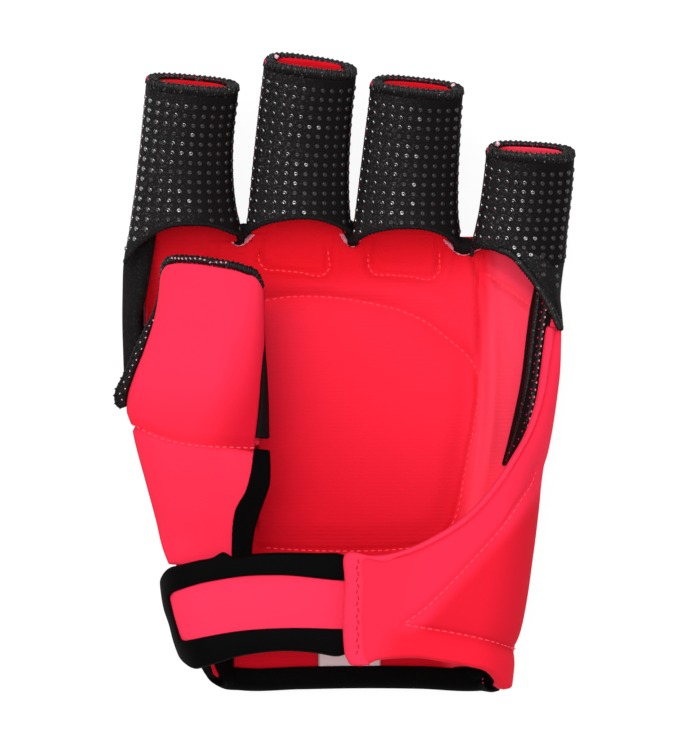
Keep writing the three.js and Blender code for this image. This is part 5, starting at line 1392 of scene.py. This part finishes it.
shape = flap_skin.shape[:2]
apart = near_lines(flap_skin[..., 0].ravel(), flap_skin[..., 1].ravel(), V_LINES).reshape(shape)
to_edge = (distance[-1] - distance) * np.ones(shape)
groove = -0.9 * np.exp(-(apart / 0.9) ** 2) - 0.7 * np.exp(-(apart / 3.0) ** 2) - 0.5 * np.exp(-((to_edge - 2.2)
                                                                                                 / 0.6) ** 2)
thickness = mix(1.6, FLAP_THICKNESS, ease(reach_mm, 3, 16))
flap_middle = flap_skin - outward_normals(flap_skin) * (thickness / 2 - 0.6)[:, None]
flap_cloth = panel("flap_cloth", flap_middle, np.broadcast_to(thickness - 0.2, shape), 1.6, lift=groove)
# Painted shade: the flap turns darker on its right slope and below the lower stitched leg, where less light falls, and
# very slightly darker towards its lower left end.
flap_neoprene = cloth("flap_neoprene", (252, 44, 74), 0.85, 0.05, 0.012, 0.0004, 0.00005, specular=0.06,
                      painted_light_and_shade=[((474, 555), (486, 566), (224, 26, 48)), ((470, 636), (467, 650), (236, 30, 52)),
                             ((400, 660), (370, 650), (250, 42, 70))])
dress(flap_cloth, flap_neoprene, "flap", "coral_neoprene", "flap_panel")
# Folded cloth behind the flap: it joins the flap to the side wing under the fold.
fold_strip_rows = np.linspace(362, 686, 90)
strip_height = np.linspace(-2.6, 2.2, 14)[:, None] * np.ones(90)
fold_strip = panel("flap_fold_cloth", np.stack([across(smooth(HAND_RIGHT,
                                                              fold_strip_rows)) - 2.3 + 0 * strip_height,
                                                along(fold_strip_rows) + 0 * strip_height,
                                                FOLD_HEIGHT + strip_height], -1),
                   1.6, 0.6)
fold_strip.data.materials.append(coral_neoprene)
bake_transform(fold_strip)
dark_thread = cloth("dark_thread", (206, 24, 56), 0.7, 0.1, 0.002, 0.0003, 0.00003)
edge_pink = cloth("edge_pink", (248, 50, 82), 0.95, 0.1, 0.002, 0.0006, 0.0002, specular=0.1)
edge_path = flap_skin[-1, 6:]
before = flap_skin[-8, 6:]
outward = edge_path - before
outward[:, 2] = 0
outward /= np.linalg.norm(outward, axis=-1, keepdims=True)
end_share = ease(flap_v[6:], 0.66, 0.72)
roll_wide = mix(2.0, 5.4, end_share)
turn = np.linspace(-0.15, math.pi + 0.6, 26)
roll_grid = np.stack([edge_path - outward * (roll_wide / 2 - 0.7)[:,
                                                                  None] + outward
                      * (-np.cos(t) * roll_wide / 2)[:, None]
                      + np.array([0, 0, 1.0])
                      * (math.sin(t) * 0.7
                         + (0.25 if t < math.pi / 2 else 0.25 - 1.6 * (1 - math.sin(t)) ** 1.2)) for t in turn])
roll = panel("flap_edge_roll", roll_grid, 0.7, 0.3)
dress(roll, edge_pink, "flap", "pink_tape", "flap_edge_binding")
hook_spots = np.meshgrid(across(np.linspace(358, 380, 16)), along(np.linspace(621, 585, 20)), [36.4],
                         indexing="ij")
hooks = panel("hook_cloth", np.stack(hook_spots, -1)[:, :, 0], 1.2, 0.5)
dress(hooks, black_stretch, "flap", "black_hook", "hook_patch")
for name, line in (("upper", V_LINES[0]), ("lower", V_LINES[1])):
    flat = even_line(line, 0.4)
    gap = (flap_skin[None, :, :, 0] - flat[:, 0, None, None]) ** 2 + (flap_skin[None, :, :, 1] - flat[:, 1, None,
                                                                                                      None]) ** 2
    nearest = gap.reshape(len(flat), -1).argmin(-1)
    level = flap_skin[..., 2].ravel()[nearest] - 1.05
    sew(f"flap_{name}_stitches", np.column_stack([flat, level + 0.12]), upward(flat), 1.5, 0.7, 0.22, seam_thread,
        "flap",
        "coral_neoprene")
end_path = up_path([(357.5 + (0.9 if order % 2 else -0.9), row, FLAP_HEIGHT + 1.3)
                    for order, row in enumerate(np.linspace(556, 658, 18))])
sew("flap_end_stitches", end_path, upward(end_path), 1.4, 0.5, 0.22, dark_thread, "flap", "pink_tape")


# Moulded pads on the outer side of the hand, flat where the glove rests
def moulded_pad(name, outline, finish, slot, node, bevel=1.6):
    """A low pad inside a closed smooth outline: flat below, with a rounded rim; rings run from the rim inwards."""
    outline = np.asarray(outline, float)
    count = len(outline)
    wrapped = np.concatenate([outline[-3:], outline, outline[:3]])
    rim = smooth_rows(np.arange(-3, count + 3, dtype=float), wrapped,
                      np.linspace(0, count, count * 14, endpoint=False))
    ahead = np.roll(rim, -1, 0) - np.roll(rim, 1, 0)
    inward = np.column_stack([-ahead[:, 1], ahead[:, 0]])
    inward /= np.linalg.norm(inward, axis=-1, keepdims=True)
    centre = rim.mean(0)
    if ((centre - rim) * inward).sum() < 0:
        inward = -inward
    turn = np.linspace(0, math.pi / 2, 8)
    rings = [np.column_stack([rim + inward * 0.5, np.full(len(rim), 5.2)]),
             np.column_stack([rim, np.full(len(rim), 4.4)])]
    rings += [np.column_stack([rim + inward * bevel * (1 - math.cos(t)),
                               np.full(len(rim), bevel * (1 - math.sin(t)))]) for t in turn]
    base = rim + inward * bevel
    rings += [np.column_stack([mix(base, centre, t), np.zeros(len(rim))]) for t in np.linspace(0.12, 0.999, 9)]
    rings = rings[::-1]
    closing = [np.column_stack([mix(rim + inward * 0.5, centre, t),
                                np.full(len(rim), 5.2)]) for t in np.linspace(0.3, 0.999, 4)]
    grid = np.stack(rings + closing)
    grid = np.concatenate([grid, grid[:, :1]], 1)
    faces = grid_faces(grid.shape[0], grid.shape[1])
    return dress(mesh_piece(name, grid.reshape(-1, 3), faces), finish, "hand_back", slot, node)


HAND_PAD = [(265, 300), (330, 297), (400, 310), (450, 340), (480, 375), (474, 430), (455, 520), (445, 543),
            (350, 550),
            (258, 548), (256, 440)]
SIDE_PAD = [(150, 304), (200, 300), (250, 304), (244, 430), (244, 540), (208, 546), (186, 480), (158, 400)]
WRIST_PAD = [(240, 566), (350, 562), (465, 562), (468, 610), (462, 640), (350, 644), (248, 640), (238, 600)]
for name, node, outline in (("hand_pad_foam", "hand_pad", HAND_PAD),
                            ("metacarpal_pad_foam", "metacarpal_pad", SIDE_PAD),
                            ("wrist_pad_foam", "wrist_pad", WRIST_PAD)):
    made = moulded_pad(name, [(across(x), along(y)) for x, y in outline], pad_foam, "moulded_foam", node)
KNUCKLE_PADS = {"index": (139, 229, 250), "middle": (256, 339, 242), "ring": (365, 452, 245),
                "little": (482, 556, 267)}
for finger, (left, right, top) in KNUCKLE_PADS.items():
    left, right, low, top = across(left), across(right), along(top + 43), along(top)
    corner = 3.5
    outline = [(left + corner, low), (right - corner, low), (right, low + corner), (right, top - corner),
               (right - corner, top),
               (left + corner, top), (left, top - corner), (left, low + corner)]
    made = moulded_pad(f"{finger}_knuckle_foam", outline, pad_foam, "moulded_foam", f"knuckle_pad_{finger}")
